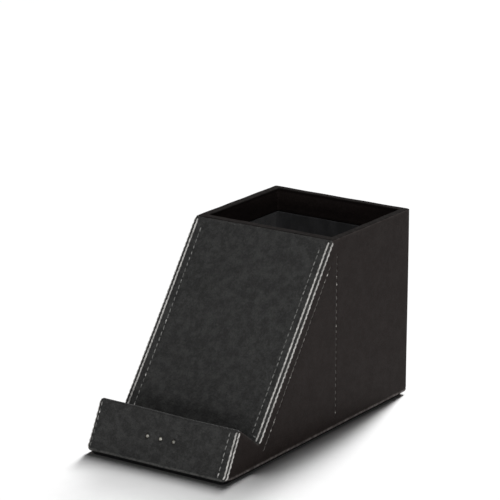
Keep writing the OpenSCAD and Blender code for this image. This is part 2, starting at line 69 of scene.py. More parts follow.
BODY = "root"
FAR = 1e9                # a distance that no point of a sheet reaches
rng = np.random.default_rng(7)

# Leather
LEATHER_T = 1.0          # thickness of the leather
EDGE_R = 0.8             # rounding along the two sides of the front
TOP_R = 0.8              # rounding along the rim
BACK_R = 0.8             # rounding of the two upright back edges
FOOT_R = 0.45            # rounding where the leather turns under the foot
LIP_TOP_R = 1.0          # rounding over the top of the lip
NOTCH_R = 0.5            # fillet in the corner between ledge and charging face
FACE_TOP_R = 2.2         # rounding from the charging face to the rim
MITRE = 1 - math.sqrt(0.5)     # share of a rounding's radius lost at its middle
RIPPLE = 0.045           # size of the stretched skin's slow waves
FOLD_AT = 0.8            # height of the bead where the leather turns under
CREASE_AT = 1.75         # height of the crease above it

# How the wrapped leather departs from the boards
PUFF, PUFF_REACH = 0.5, 6      # how far it stands off at the sides, and how far in
LIP_FOOT_SOFT = 2.6      # softening of the lip's lower corners
LIP_TOP_SOFT = 1.6       # softening of the lip's upper corners
BACK_FOOT_SOFT = 2.2     # softening of the back's lower corners
SOFT_REACH = 7           # the softening fades out over this distance
LIP_TOP_REACH = 5        # and over this one at the lip's upper corners
LIP_RISE = 0.8           # how much higher the lip's left end is wrapped
LIP_RISE_X = (15, 50)    # where the rise starts, and over what width it grows
LIP_RISE_DEPTH = 14      # how far below the lip's top it is felt
SWAY_FOOT = 8            # the slow waves fade out over this height above the foot
# Slow waves: axis moved, size, first axis and its wave length, second axis and its wave
# length, phase
SWAY = [(0, 0.07, 1, 19, 2, 23, 0.5), (1, 0.06, 0, 15, 2, 17, 0.0),
        (2, 0.06, 0, 21, 1, 27, 1.1)]

# Stitching: distance between stitches, and depth and width of the groove they press in
ROPE_PITCH = 2.7
BEAD_PITCH = 3.3
DASH_PITCH = 3.6
SHORT_PITCH = 1.7
ROPE_PRESS = (0.12, 0.55)
BEAD_PRESS = (0.18, 0.5)
DASH_PRESS = (0.2, 0.45)
SHORT_PRESS = (0.15, 0.4)
SIDE_PRESS = (0.2, 0.42)
HOLE_PRESS = 0.55        # how much deeper the groove is at a needle hole
GROOVE_RUN = 1.0         # how far a groove runs on past its last stitch
GROOVE_FADE = 1.2

# Meshes of the sheets: (spacing, distance from the seams and grooves where it ends)
SKIN_STEPS = [(0.5, 1.6), (1.0, 3.2), (2.0, FAR)]
SKIN_RINGS = [0.14, 0.36, 0.7]
OUTLINE_STEP = 0.5


# ---------------------------------------------------------------- places from the CAD

def corner_of(node, direction):
    """(y, z) in mm of the node's farthest point in a direction given in y and z."""
    co = np.array([v.co for v in frame["nodes"][node].data.vertices])[:, 1:]
    return co[np.argmax(co @ np.array(direction, float))] / MM


def span(node):
    """Lowest and highest corners of a node, in mm."""
    low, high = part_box(node)
    return np.array(low) / MM, np.array(high) / MM


SIDE_LOW, SIDE_HIGH = span("side_cover_right")
HALF_W = SIDE_HIGH[0]
BACK_Y = SIDE_HIGH[1]
TOP_Z = SIDE_HIGH[2]
FOOT_Z = SIDE_LOW[2]
FOOT = corner_of("lip_cover", (-1, 0))
LIP_TOP = corner_of("lip_cover", (0.3, 1))
NOTCH = corner_of("charging_cover", (-1, 0))
FACE_TOP = corner_of("charging_cover", (-0.3, 1))


def unit(v):
    v = np.array(v, float)
    return v / np.linalg.norm(v)


LIP_DIR = unit(LIP_TOP - FOOT)
FACE_DIR = unit(FACE_TOP - NOTCH)


def left_of(direction):
    return np.array([-direction[1], direction[0]])


# ---------------------------------------------------------------- profile of the front

def rounded_path(corners, radii, steps=12):
    """Points, outward normals and length along a path with its inner corners rounded."""
    points, normals = [np.array(corners[0], float)], [left_of(unit(corners[1] - corners[0]))]
    for before, corner, after, r in zip(corners, corners[1:], corners[2:], radii):
        a, b = unit(corner - before), unit(after - corner)
        turn = math.atan2(a[0] * b[1] - a[1] * b[0], a @ b)
        reach = r * math.tan(abs(turn) / 2)
        side = math.copysign(1, turn)
        centre = corner - a * reach + left_of(a) * r * side
        for k in range(steps + 1):
            t = turn * k / steps
            c, s = math.cos(t), math.sin(t)
            n = left_of(a)
            n = np.array([n[0] * c - n[1] * s, n[0] * s + n[1] * c])
            points.append(centre - n * r * side)
            normals.append(n)
    points.append(np.array(corners[-1], float))
    normals.append(normals[-1])
    points, normals = np.array(points), np.array(normals)
    length = np.r_[0, np.cumsum(np.linalg.norm(np.diff(points, axis=0), axis=1))]
    return points, normals, length


PATH_CORNERS = [FOOT + [2.0, 0], FOOT, LIP_TOP, NOTCH, FACE_TOP, FACE_TOP + [4.0, 0]]
PATH_P, PATH_N, PATH_U = rounded_path(
    PATH_CORNERS, [FOOT_R, LIP_TOP_R, NOTCH_R, FACE_TOP_R])


def along_path(u, table):
    return np.stack([np.interp(u, PATH_U, table[:, k]) for k in (0, 1)], axis=-1)


def path_u(point):
    """Length along the path at its nearest point."""
    u = np.linspace(0, PATH_U[-1], 8000)
    gap = np.linalg.norm(along_path(u, PATH_P) - np.array(point), axis=1)
    return float(u[np.argmin(gap)])


U_LIP = path_u(FOOT)
U_LIP_TOP = path_u(LIP_TOP)
U_NOTCH = path_u(NOTCH)
U_FACE_TOP = path_u(FACE_TOP)


def lip_u(s):
    return path_u(FOOT + LIP_DIR * s)


def face_u(s):
    return path_u(NOTCH + FACE_DIR * s)


LIP_LEN = float(np.linalg.norm(LIP_TOP - FOOT))
FACE_LEN = float(np.linalg.norm(FACE_TOP - NOTCH))


# ---------------------------------------------------------------- how the leather settles

def smooth(t):
    t = np.clip(t, 0, 1)
    return t * t * (3 - 2 * t)


def bell(x, width):
    """1 where x is 0, falling off on both sides."""
    return np.exp(-(x / width) ** 2)


def soften_corner(d1, d2, radius):
    """Moves along d1 and d2 that round the corner where both distances reach zero."""
    v1, v2 = np.maximum(radius - d1, 0), np.maximum(radius - d2, 0)
    reach = np.maximum(np.hypot(v1, v2), 1e-9)
    keep = np.maximum(v1, v2) / reach
    both = (v1 > 0) & (v2 > 0)
    return np.where(both, v1 * (1 - keep), 0), np.where(both, v2 * (1 - keep), 0)


def settle(p):
    """Rounds the outer corners and makes long edges slightly uneven, as hand-wrapped
    leather is. Every outer piece goes through it, so that the seams stay closed."""
    p = np.array(p, float)
    side = np.sign(p[:, 0])
    behind_lip = -((p[:, 1:] - FOOT) @ left_of(LIP_DIR))
    below_top = -((p[:, 1:] - LIP_TOP) @ LIP_DIR)
    d_side = HALF_W - np.abs(p[:, 0])
    d_foot = p[:, 2] - FOOT_Z
    d_back = BACK_Y - p[:, 1]
    near_lip = smooth(1 - behind_lip / SOFT_REACH)
    lip_only = near_lip * smooth(1 - behind_lip / LIP_TOP_REACH)
    near_side = smooth(1 - d_side / SOFT_REACH)
    inward, up = soften_corner(d_side, d_foot, LIP_FOOT_SOFT)
    p[:, 0] -= side * inward * near_lip
    p[:, 2] += up * near_lip
    inward, down = soften_corner(d_side, below_top, LIP_TOP_SOFT)
    p[:, 0] -= side * inward * lip_only
    p[:, 1:] -= np.outer(down * lip_only, LIP_DIR)
    inward, up = soften_corner(d_back, d_foot, BACK_FOOT_SOFT)
    p[:, 1] -= inward * near_side
    p[:, 2] += up * near_side
    p[:, 0] += side * PUFF * smooth(1 - d_side / PUFF_REACH)
    p[:, 1] += PUFF * smooth(1 - d_back / PUFF_REACH)
    left_end = smooth((LIP_RISE_X[0] - p[:, 0]) / LIP_RISE_X[1])
    p[:, 2] += LIP_RISE * left_end * smooth(1 - below_top / LIP_RISE_DEPTH) * near_lip
    at = p.copy()
    lift = smooth((at[:, 2] - FOOT_Z) / SWAY_FOOT)
    for axis, size, a, length_a, b, length_b, phase in SWAY:
        wave = np.sin(at[:, a] / length_a + at[:, b] / length_b + phase)
        p[:, axis] += size * wave * lift
    return p


def ripple(a, b, seed):
    """Slow unevenness of a stretched skin, within about a tenth of a millimetre."""
    return RIPPLE * (np.sin(a / 5.3 + seed) * np.sin(b / 6.9 + 2 * seed)
                     + np.sin(a / 11.7 + b / 8.1 + seed) + 0.5 * np.sin(b / 3.9 - a / 4.7))


def edge_drop(d, r):
    """How far a rounded edge lies below the flat, at distance d from the edge."""
    v = np.clip(r - d, 0, r)
    return r - np.sqrt(np.maximum(r * r - v * v, 0))


def groove(p, row):
    """Depth pressed in by a row of stitches, deeper at each needle hole."""
    a, b = row["a"], row["b"]
    length = np.linalg.norm(b - a)
    d = (b - a) / length
    along, off = (p - a) @ d, (p - a) @ left_of(d)
    ends = (smooth((along + GROOVE_RUN) / GROOVE_FADE)
            * smooth((length + GROOVE_RUN - along) / GROOVE_FADE))
    holes = 1 + HOLE_PRESS * np.cos(2 * np.pi * along / row["pitch"])
    return row["depth"] * holes * bell(off, row["width"]) * ends


# ---------------------------------------------------------------- sheets of leather

def shut(loop):
    """The loop as a chain that ends where it starts."""
    return np.vstack([loop, loop[:1]])


def distance_to(points, chain):
    """Distance from each point to the nearest stretch of a chain of points."""
    best = np.full(len(points), 1e9)
    for a, b in zip(chain, chain[1:]):
        a, b = np.array(a), np.array(b)
        ab = b - a
        t = np.clip((points - a) @ ab / max(ab @ ab, 1e-12), 0, 1)
        best = np.minimum(best, np.linalg.norm(points - a - t[:, None] * ab, axis=1))
    return best


def is_inside(points, loop):
    inside = np.zeros(len(points), bool)
    x, y = points.T
    for (x0, y0), (x1, y1) in zip(loop, np.roll(loop, -1, axis=0)):
        crosses = (y0 > y) != (y1 > y)
        with np.errstate(divide="ignore", invalid="ignore"):
            at = x0 + (y - y0) * (x1 - x0) / (y1 - y0)
        inside ^= crosses & (x < at)
    return inside


def resample(loop, step):
    """The closed loop with extra points, so that no gap is much over the step."""
    out = []
    for a, b in zip(loop, np.roll(loop, -1, axis=0)):
        n = max(1, int(round(np.linalg.norm(b - a) / step)))
        out += [a + (b - a) * k / n for k in range(n)]
    return np.array(out)


def circle(centre, radius, count=28):
    t = np.arange(count) * 2 * np.pi / count
    return np.stack([centre[0] + radius * np.cos(t), centre[1] + radius * np.sin(t)], 1)


def ring_inside(loop, offset):
    """Points at a set distance inside a counter-clockwise loop."""
    ahead = np.roll(loop, -1, axis=0) - loop
    behind = loop - np.roll(loop, 1, axis=0)
    d = ahead / np.linalg.norm(ahead, axis=1)[:, None]
    d = d + behind / np.linalg.norm(behind, axis=1)[:, None]
    d /= np.maximum(np.linalg.norm(d, axis=1), 1e-9)[:, None]
    ring = loop + offset * np.stack([-d[:, 1], d[:, 0]], 1)
    return ring[distance_to(ring, shut(loop)) > 0.93 * offset]


def seed_points(loop, holes, chains, steps, rings):
    """Points to fill a sheet: rings along its edge, then a grid that is finer near
    the chains. Steps is a list of (spacing, distance to the chains where it ends)."""
    seeds = [ring_inside(loop, r) for r in rings]
    low, high = loop.min(0), loop.max(0)
    finest = steps[0][0]
    count = np.ceil((high - low) / finest).astype(int) + 1
    i, j = np.meshgrid(np.arange(count[0]), np.arange(count[1]), indexing="ij")
    i, j = i.ravel(), j.ravel()
    off_the_outline = 0.13 * finest
    grid = low + np.stack([i, j], 1) * finest
    grid = grid + off_the_outline
    near = np.full(len(grid), FAR)
    for chain in chains:
        near = np.minimum(near, distance_to(grid, chain))
    keep = np.zeros(len(grid), bool)
    for spacing, reach in steps:
        every = int(round(spacing / finest))
        keep |= (i % every == 0) & (j % every == 0) & (near < reach)
    grid = grid[keep]
    grid = grid[is_inside(grid, loop)]
    seeds.append(grid[distance_to(grid, shut(loop)) > max(rings) + 0.45 * finest])
    seeds = np.vstack(seeds)
    for hole in holes:
        seeds = seeds[~is_inside(seeds, hole) & (distance_to(seeds, shut(hole)) > 0.12)]
    return seeds


def fill(loops, seeds):
    """Triangles over the first loop, less the other loops, through the seed points."""
    verts, edges = [], []
    for loop in loops:
        start = len(verts)
        verts += [Vector(p) for p in loop]
        edges += [(start + k, start + (k + 1) % len(loop)) for k in range(len(loop))]
    verts += [Vector(p) for p in seeds]
    out = delaunay_2d_cdt(verts, edges, [], 1, 1e-5)
    points, faces = np.array(out[0], float), np.array(out[2])
    middles = points[faces].mean(axis=1)
    keep = is_inside(middles, loops[0])
    for hole in loops[1:]:
        keep &= ~is_inside(middles, hole)
    return points, [tuple(int(k) for k in face) for face in faces[keep]]


def make_object(name, vertices, faces, material):
    """A mesh object on the CAD's body. Vertices are in mm."""
    mesh = bpy.data.meshes.new(name)
    mesh.from_pydata((np.asarray(vertices) * MM).tolist(), [], faces)
    mesh.validate()
    mesh.update()
    mesh.shade_smooth()
    mesh.materials.append(material)
    piece = bpy.data.objects.new(name, mesh)
    bpy.context.scene.collection.objects.link(piece)
    return piece


def paint(piece, name, values):
    """A number at each vertex that a material can read."""
    attribute = piece.data.attributes.new(name, "FLOAT", "POINT")
    attribute.data.foreach_set("value", np.asarray(values, np.float32))


def leather_sheet(name, nodes, outline, holes, rows, features, shape, material,
                  back_steps):
    """A closed sheet: an outer skin with its grooves, and a plain inner side that meets
    it along a skived edge. Shape is the functions for height, wear and painted
    highlight, dye and painted shade, and place."""
    height, wear_and_highlight, dye_and_shade, place = shape
    loop = resample(outline, OUTLINE_STEP)
    loops = [loop] + holes
    chains = [[row["a"], row["b"]] for row in rows] + features + [shut(loop)]
    outer, outer_faces = fill(loops, seed_points(loop, holes, chains, SKIN_STEPS, SKIN_RINGS))
    inner, inner_faces = fill(
        loops, seed_points(loop, holes, features, back_steps, [LEATHER_T - 0.2]))
    rim = sum(len(part) for part in loops)
    h = height(outer)
    for row in rows:
        h -= groove(outer, row)
    skin = place(outer, h)
    back = place(inner[rim:], np.full(len(inner) - rim, -LEATHER_T))
    shift = len(outer) - rim
    lower = [tuple(k if k < rim else k + shift for k in face[::-1]) for face in inner_faces]
    piece = make_object(name, settle(np.vstack([skin, back])), outer_faces + lower, material)
    mark_sharp(piece, rim)
    # Attributes for the material: paler for wear and a painted highlight, darker for dye and
    # painted shade.
    for field, values in (("wear_and_highlight", wear_and_highlight(outer)), ("dye_and_shade", dye_and_shade(outer))):
        paint(piece, field, np.r_[values, np.zeros(len(back))])
    face_out(piece)
    stands_for(piece, nodes)


def mark_sharp(piece, rim):
    """Keeps the edge between the skin and the back of a sheet crisp."""
    for edge in piece.data.edges:
        a, b = edge.vertices
        if a < rim and b < rim and abs(a - b) in (1, rim - 1):
            edge.use_edge_sharp = True


def face_out(piece):
    """Turns the faces outward."""
    bm = bmesh.new()
    bm.from_mesh(piece.data)
    bmesh.ops.recalc_face_normals(bm, faces=bm.faces)
    bm.to_mesh(piece.data)
    bm.free()


def loft(loops, closed):
    """Quads between loops that have the same number of points. A closed loft joins its
    last loop to its first, and an open one has a face over each end."""
    n, faces = len(loops[0]), []
    pairs = len(loops) if closed else len(loops) - 1
    for k in range(pairs):
        a, b = k * n, ((k + 1) % len(loops)) * n
        faces += [(a + i, a + (i + 1) % n, b + (i + 1) % n, b + i) for i in range(n)]
    if not closed:
        last = pairs * n
        faces += [tuple(range(n))[::-1], tuple(range(last, last + n))]
    return np.vstack(loops), faces


def rounded_rectangle(x0, x1, y0, y1, radius, per_side=44, per_corner=8):
    """A closed loop with the same number of points whatever its size."""
    centres = [(x1 - radius, y0 + radius, -90), (x1 - radius, y1 - radius, 0),
               (x0 + radius, y1 - radius, 90), (x0 + radius, y0 + radius, 180)]
    arcs = []
    for cx, cy, start in centres:
        t = np.radians(start + 90 * np.arange(per_corner + 1) / per_corner)
        arcs.append(np.stack([cx + radius * np.cos(t), cy + radius * np.sin(t)], 1))
    out = []
    for arc, following in zip(arcs, arcs[1:] + arcs[:1]):
        out.append(arc)
        t = (np.arange(1, per_side) / per_side)[:, None]
        out.append(arc[-1] + (following[0] - arc[-1]) * t)
    return np.vstack(out)


def rectangle_at(z, *size):
    """A rounded rectangle at height z."""
    flat = rounded_rectangle(*size)
    return np.column_stack([flat, np.full(len(flat), z)])


# ---------------------------------------------------------------- rows of stitches

def row(a, b, pitch, press=ROPE_PRESS):
    """A row of stitches from a to b, points of a flat sheet."""
    return {"a": np.array(a, float), "b": np.array(b, float), "pitch": pitch,
            "depth": press[0], "width": press[1]}


def front_row(ends, x, pitch, press=ROPE_PRESS):
    """A row along the profile, at one x."""
    return row((ends[0], x), (ends[1], x), pitch, press)


LIP_ENDS = (lip_u(1.6), lip_u(LIP_LEN - 1.6))
FACE_ENDS = (face_u(1.2), face_u(FACE_LEN - 1.6))
BEAD_ENDS = (face_u(4.4), face_u(FACE_LEN - 5.6))
ROPE_X_LIP, BEAD_X_LIP = HALF_W - 1.3, HALF_W - 4.7
ROPE_X_FACE, BEAD_X_FACE = HALF_W - 1.9, HALF_W - 5.4
SIDE_ROPE_INSET = 0.75

# Rows on the front, as points (length along the profile, x). The last of the right bead
# rows is the short one that turns in to the corner at the ledge.
FRONT_ROWS = {
    "rope_right": [front_row(LIP_ENDS, ROPE_X_LIP, ROPE_PITCH),
                   front_row(FACE_ENDS, ROPE_X_FACE, ROPE_PITCH)],
    "rope_left": [front_row(FACE_ENDS, -ROPE_X_FACE, ROPE_PITCH)],
    "dash_left": [front_row(LIP_ENDS, -ROPE_X_LIP, DASH_PITCH, DASH_PRESS)],
    "bead_right": [front_row(LIP_ENDS, BEAD_X_LIP, BEAD_PITCH, BEAD_PRESS),
                   front_row(BEAD_ENDS, BEAD_X_FACE, BEAD_PITCH, BEAD_PRESS),
                   row((BEAD_ENDS[0] - 0.9, BEAD_X_FACE + 0.5),
                       (BEAD_ENDS[0] - 1.3, ROPE_X_FACE - 0.9), SHORT_PITCH, SHORT_PRESS)],
    "bead_left": [front_row(BEAD_ENDS, -BEAD_X_FACE, BEAD_PITCH, BEAD_PRESS)],
}


def beside_lip(s, inset):
    """(y, z) on the side, s along the lip and inset behind it."""
    return FOOT + LIP_DIR * s - left_of(LIP_DIR) * inset


def beside_face(s, inset):
    """(y, z) on the side, s along the charging face and inset below it."""
    return NOTCH + FACE_DIR * s - left_of(FACE_DIR) * inset


SLANT_LOW, SLANT_HIGH = span("side_stitching_right")
SLANT_INSET = 6.3
SLANT_RUN = (-1.6, 100.2)      # where the slanted row starts and ends along the face
THREAD_T = 0.4                 # from the end of the CAD's thread to its middle
UPRIGHT_Y = SLANT_HIGH[1] - THREAD_T
UPRIGHT_Z = (SLANT_LOW[2] + THREAD_T, 95.0)

# Rows on a side, as points (y, z)
SIDE_ROWS = {
    "rope": [row(beside_lip(1.9, SIDE_ROPE_INSET),
                 beside_lip(LIP_LEN - 1.7, SIDE_ROPE_INSET), ROPE_PITCH),
             row(beside_face(0.6, SIDE_ROPE_INSET),
                 beside_face(FACE_LEN - 1.2, SIDE_ROPE_INSET), ROPE_PITCH)],
    "slant": [row(beside_face(SLANT_RUN[0], SLANT_INSET),
                  beside_face(SLANT_RUN[1], SLANT_INSET), BEAD_PITCH, SIDE_PRESS)],
    "upright": [row((UPRIGHT_Y, UPRIGHT_Z[0]), (UPRIGHT_Y, UPRIGHT_Z[1]), DASH_PITCH,
                    SIDE_PRESS)],
}

# Shape of one stitch of each kind: share of the pitch it spans, how far it slants to
# either side, thread radius, how high its middle rises and how deep its ends sink
ROPE = {"span": 1.24, "slant": 0.11, "radius": 0.43, "rise": 0.16, "sink": 0.36}
BEAD = {"span": 0.82, "slant": 0.10, "radius": 0.26, "rise": 0.10, "sink": 0.45}
DASH = {"span": 0.74, "slant": 0.06, "radius": 0.26, "rise": 0.06, "sink": 0.42}
FINE = {"span": 0.60, "slant": 0.08, "radius": 0.25, "rise": 0.03, "sink": 0.40}
LONG = {"span": 0.96, "slant": 0.04, "radius": 0.25, "rise": 0.05, "sink": 0.34}

THREAD_SIDES = 10
THREAD_RINGS = 15
THREAD_PLIES = 3
THREAD_TWIST = 2.1       # turns of the plies along one stitch
PLY_RELIEF = 0.09        # how far the plies bulge, as a share of the radius
END_THICKNESS = 0.62     # thickness at a stitch's ends, as a share of its middle
SECTION_HEIGHT = 0.9     # height of the thread's section against its width
STRAY = 0.05             # stray of a stitch, in pitches along the row and mm across it
STRAY_HEIGHT = 0.03
STRAY_LENGTH = 0.05
BEDDING = 0.7            # how far down its groove a stitch lies, as a share of the depth


def stitch(centre, along, lift, kind, length, mirror):
    """Vertices and faces of one stitch in the flat sheet's own space (a, b, height)."""
    across = left_of(along)
    t = np.linspace(0, 1, THREAD_RINGS)
    run = (t - 0.5) * length
    off = mirror * kind["slant"] * (2 * t - 1)
    bow = np.sin(np.pi * t) ** 0.55
    high = lift - kind["sink"] + (kind["sink"] + kind["rise"]) * bow
    swell = END_THICKNESS + (1 - END_THICKNESS) * np.sin(np.pi * t) ** 0.5
    thick = kind["radius"] * swell
    angle = np.arange(THREAD_SIDES) * 2 * np.pi / THREAD_SIDES
    rings = []
    for k in range(THREAD_RINGS):
        turn = 2 * np.pi * THREAD_TWIST * t[k]
        ply = 1 + PLY_RELIEF * np.cos(THREAD_PLIES * (angle + turn / THREAD_PLIES))
        side = thick[k] * ply * np.cos(angle)
        up = thick[k] * ply * np.sin(angle) * SECTION_HEIGHT
        flat = centre + along * run[k] + np.outer(off[k] + side, across)
        rings.append(np.column_stack([flat, high[k] + up]))
    return loft(rings, False)


def stitch_row(one, kind, place, mirror):
    """All stitches of a row, placed on the surface."""
    a, b = one["a"], one["b"]
    length = np.linalg.norm(b - a)
    along = (b - a) / length
    count = max(1, int(round(length / one["pitch"])))
    pitch = length / count
    vertices, faces, start = [], [], 0
    for k in range(count):
        centre = a + along * pitch * (k + 0.5 + rng.uniform(-STRAY, STRAY))
        centre = centre + left_of(along) * rng.uniform(-STRAY, STRAY)
        lift = -BEDDING * one["depth"] + rng.uniform(-STRAY_HEIGHT, STRAY_HEIGHT)
        reach = pitch * kind["span"] * rng.uniform(1 - STRAY_LENGTH, 1 + STRAY_LENGTH)
        v, f = stitch(centre, along, lift, kind, reach, mirror)
        vertices.append(place(v[:, :2], v[:, 2]))
        faces += [tuple(i + start for i in face) for face in f]
        start += len(v)
    return np.vstack(vertices), faces


def thread_piece(name, parts, materials, nodes):
    """One object from several rows: a list of (rows, kind, place, mirror, slot)."""
    vertices, faces, slots, start = [], [], [], 0
    for rows, kind, place, mirror, slot in parts:
        for one in rows:
            v, f = stitch_row(one, kind, place, mirror)
            vertices.append(v)
            faces += [tuple(i + start for i in face) for face in f]
            slots += [slot] * len(f)
            start += len(v)
    piece = make_object(name, settle(np.vstack(vertices)), faces, materials[0])
    for material in materials[1:]:
        piece.data.materials.append(material)
    piece.data.polygons.foreach_set("material_index", slots)
    return stands_for(piece, nodes)


def stands_for(piece, nodes):
    """The piece moves with the body and stands in for these CAD nodes."""
    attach(piece, BODY)
    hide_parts(*nodes)
    return piece


# ---------------------------------------------------------------- surfaces

def place_front(p, h):
    """From (length along the profile, x) and height to x, y, z."""
    yz = along_path(p[:, 0], PATH_P) + along_path(p[:, 0], PATH_N) * np.asarray(h)[:, None]
    return np.column_stack([p[:, 1], yz])


def place_side(side):
    """From (y, z) and height to x, y, z, on the right (1) or the left (-1)."""
    def place(p, h):
        return np.column_stack([side * (HALF_W + np.asarray(h)), p])
    return place


def place_back(p, h):
    """From (x, z) and height to x, y, z."""
    return np.column_stack([p[:, 0], BACK_Y + np.asarray(h), p[:, 1]])


def foot_fold(d):
    """Bead and crease where the leather turns under, by distance from the foot."""
    return 0.28 * bell(d - FOLD_AT, 0.4) - 0.2 * bell(d - CREASE_AT, 0.35)


def seam_pinch(d, inset):
    """Dip where two sheets meet at a mitred edge."""
    return 0.10 * bell(d - inset, 0.22)


# ---------------------------------------------------------------- shader building

# Scale of a wave texture that gives one ridge for each wire of a winding or a ribbon
WIRE_WAVES = 1 / (6.28 * 0.5 * MM)


def darker(colour, share):
    return tuple(share * c for c in colour)


class Shader:
    """Short names for building a procedural material. Sizes are in mm."""

    def __init__(self, name):
        self.material = bpy.data.materials.new(name)
        self.material.use_nodes = True
        self.tree = self.material.node_tree
        self.bsdf = self.tree.nodes["Principled BSDF"]
        self.coord = self.tree.nodes.new("ShaderNodeTexCoord").outputs["Object"]

    def node(self, kind, inputs, **settings):
        """A node with its settings, and each input linked or set."""
        n = self.tree.nodes.new("ShaderNode" + kind)
        for key, value in settings.items():
            setattr(n, key, value)
        for key, value in inputs.items():
            if isinstance(value, bpy.types.NodeSocket):
                self.tree.links.new(value, n.inputs[key])
            else:
                n.inputs[key].default_value = value
        return n

    def noise(self, size, detail=2.0, roughness=0.5, stretch=None, distortion=0.0):
        """Noise whose features are about the given size."""
        at = self.coord
        if stretch is not None:
            at = self.node("Mapping", {"Vector": at, "Scale": stretch}).outputs[0]
        return self.node("TexNoise", {"Vector": at, "Scale": 1 / (size * MM),
                                      "Detail": detail, "Roughness": roughness,
                                      "Distortion": distortion}).outputs["Fac"]

    def cells(self, size, feature="F1", at=None, randomness=1.0):
        return self.node("TexVoronoi", {"Vector": at or self.coord, "Scale": 1 / (size * MM),
                                        "Randomness": randomness},
                         feature=feature).outputs["Distance"]

    def warped(self, size, amount):
        """The coordinates pushed about by noise."""
        push = self.node("TexNoise", {"Vector": self.coord, "Scale": 1 / (size * MM),
                                      "Detail": 2.0}).outputs["Color"]
        centred = self.node("VectorMath", {0: push, 1: (0.5, 0.5, 0.5)},
                            operation="SUBTRACT").outputs[0]
        scaled = self.node("VectorMath", {0: centred, "Scale": 2 * amount * MM},
                           operation="SCALE").outputs[0]
        return self.node("VectorMath", {0: self.coord, 1: scaled}, operation="ADD").outputs[0]

    def ramp(self, value, low, high, to_low=0.0, to_high=1.0):
        return self.node("MapRange", {"Value": value, "From Min": low, "From Max": high,
                                      "To Min": to_low, "To Max": to_high},
                         interpolation_type="SMOOTHSTEP").outputs[0]

    def math(self, operation, a, b):
        return self.node("Math", {0: a, 1: b}, operation=operation).outputs[0]

    def mix(self, factor, a, b):
        """From colour a to colour b. Each is a socket or three numbers."""
        a, b = [c if isinstance(c, bpy.types.NodeSocket) else (*c, 1) for c in (a, b)]
        return self.node("Mix", {"Factor": factor, 6: a, 7: b}, data_type="RGBA").outputs[2]

    def bump(self, height, depth, strength, below=None):
        inputs = {"Height": height, "Distance": depth * MM, "Strength": strength}
        if below is not None:
            inputs["Normal"] = below
        return self.node("Bump", inputs).outputs[0]

    def attribute(self, name):
        return self.node("Attribute", {}, attribute_name=name).outputs["Fac"]

    def done(self, colour, rough, height, depth, strength, below=None, **fixed):
        """The finished material, with the values that are the same all over set on the
        shader's own sockets."""
        relief = self.bump(height, depth, strength, below)
        for output, socket in ((colour, "Base Color"), (rough, "Roughness"),
                               (relief, "Normal")):
            self.tree.links.new(output, self.bsdf.inputs[socket])
        for key, value in fixed.items():
            self.bsdf.inputs[key.replace("_", " ")].default_value = value
        return self.material


def leather(name, dark, light, worn_and_highlight, pore, relief, gloss, uneven, specular):
    """Pebbled leather: cells and creases in the relief, cloudy patches in the colour,
    paler, smoother skin where hands and edges rub and where a highlight is painted on,
    and darker skin where it is dyed and where shade is painted on."""
    s = Shader(name)
    clouds = s.noise(4.5, 3.0, 0.6)
    specks = s.noise(1.1, 2.0, 0.6)
    at = s.warped(1.6, 0.35)
    pebbles = s.cells(pore, "SMOOTH_F1", at)
    creases = s.cells(pore * 2.3, "DISTANCE_TO_EDGE", at)
    folds = s.ramp(creases, 0.0, 0.12)
    patch = s.math("ADD", s.ramp(clouds, 0.38, 0.66, 0, 0.6), s.ramp(specks, 0.42, 0.7, 0, 0.4))
    tone = s.mix(patch, dark, light)
    tone = s.mix(s.ramp(folds, 0, 1, 0.45, 0), tone, darker(dark, 0.45))
    # Darker for dye, and for painted shade over the lip's top, the face's top and the rim.
    tone = s.mix(s.attribute("dye_and_shade"), tone, darker(dark, 0.25))
    # Paler for rubbing, and for the painted highlight along the foot's fold.
    rubbed_and_highlight = s.math("MULTIPLY", s.attribute("wear_and_highlight"),
                    s.ramp(s.noise(2.2, 3.0, 0.7), 0.35, 0.65, 0.25, 1.0))
    rough = s.ramp(s.math("ADD", clouds, s.math("MULTIPLY", specks, 0.5)), 0.5, 1.0,
                   gloss + 0.12 * uneven, gloss - 0.08 * uneven)
    rough = s.math("SUBTRACT", rough, s.math("MULTIPLY", rubbed_and_highlight, 0.12))
    height = s.math("ADD", s.ramp(pebbles, 0.0, 0.6, 0.55, 0.0),
                    s.math("MULTIPLY", folds, 0.45))
    return s.done(s.mix(rubbed_and_highlight, tone, worn_and_highlight), rough, height, relief, 1.0,
                  s.bump(clouds, 0.5, 0.25 * uneven), Specular_IOR_Level=specular)


def thread_material(name, dark, light, spots=None):
    """Waxed thread: strands along the twist, paler crowns, a little grime."""
    s = Shader(name)
    strands = s.noise(0.16, 2.0, 0.6)
    grime = s.noise(2.6, 3.0, 0.6)
    tone = s.mix(s.ramp(grime, 0.36, 0.62), dark, light)
    tone = s.mix(s.ramp(strands, 0.35, 0.6, 0.3, 0), tone, darker(dark, 0.5))
    if spots:
        tone = s.mix(s.ramp(s.noise(3.4, 1.0, 0.4), 0.62, 0.69), tone, spots)
    return s.done(tone, s.ramp(grime, 0.3, 0.7, 0.62, 0.48), strands, 0.05, 0.6,
                  Specular_IOR_Level=0.35, Sheen_Weight=0.08)


def speckled(name, dark, light, size, relief, rough, metallic=0.0, stretch=None,
             specular=0.5):
    """A plain material with a cloudy colour, uneven gloss and a fine relief."""
    s = Shader(name)
    grain = s.noise(size, 3.0, 0.6, stretch)
    broad = s.noise(size * 7, 2.0, 0.5)
    tone = s.mix(s.ramp(s.math("ADD", grain, broad), 0.7, 1.3), dark, light)
    return s.done(tone, s.ramp(broad, 0.3, 0.7, rough - 0.06, rough + 0.08), grain, relief,
                  0.6, Metallic=metallic, Specular_IOR_Level=specular)


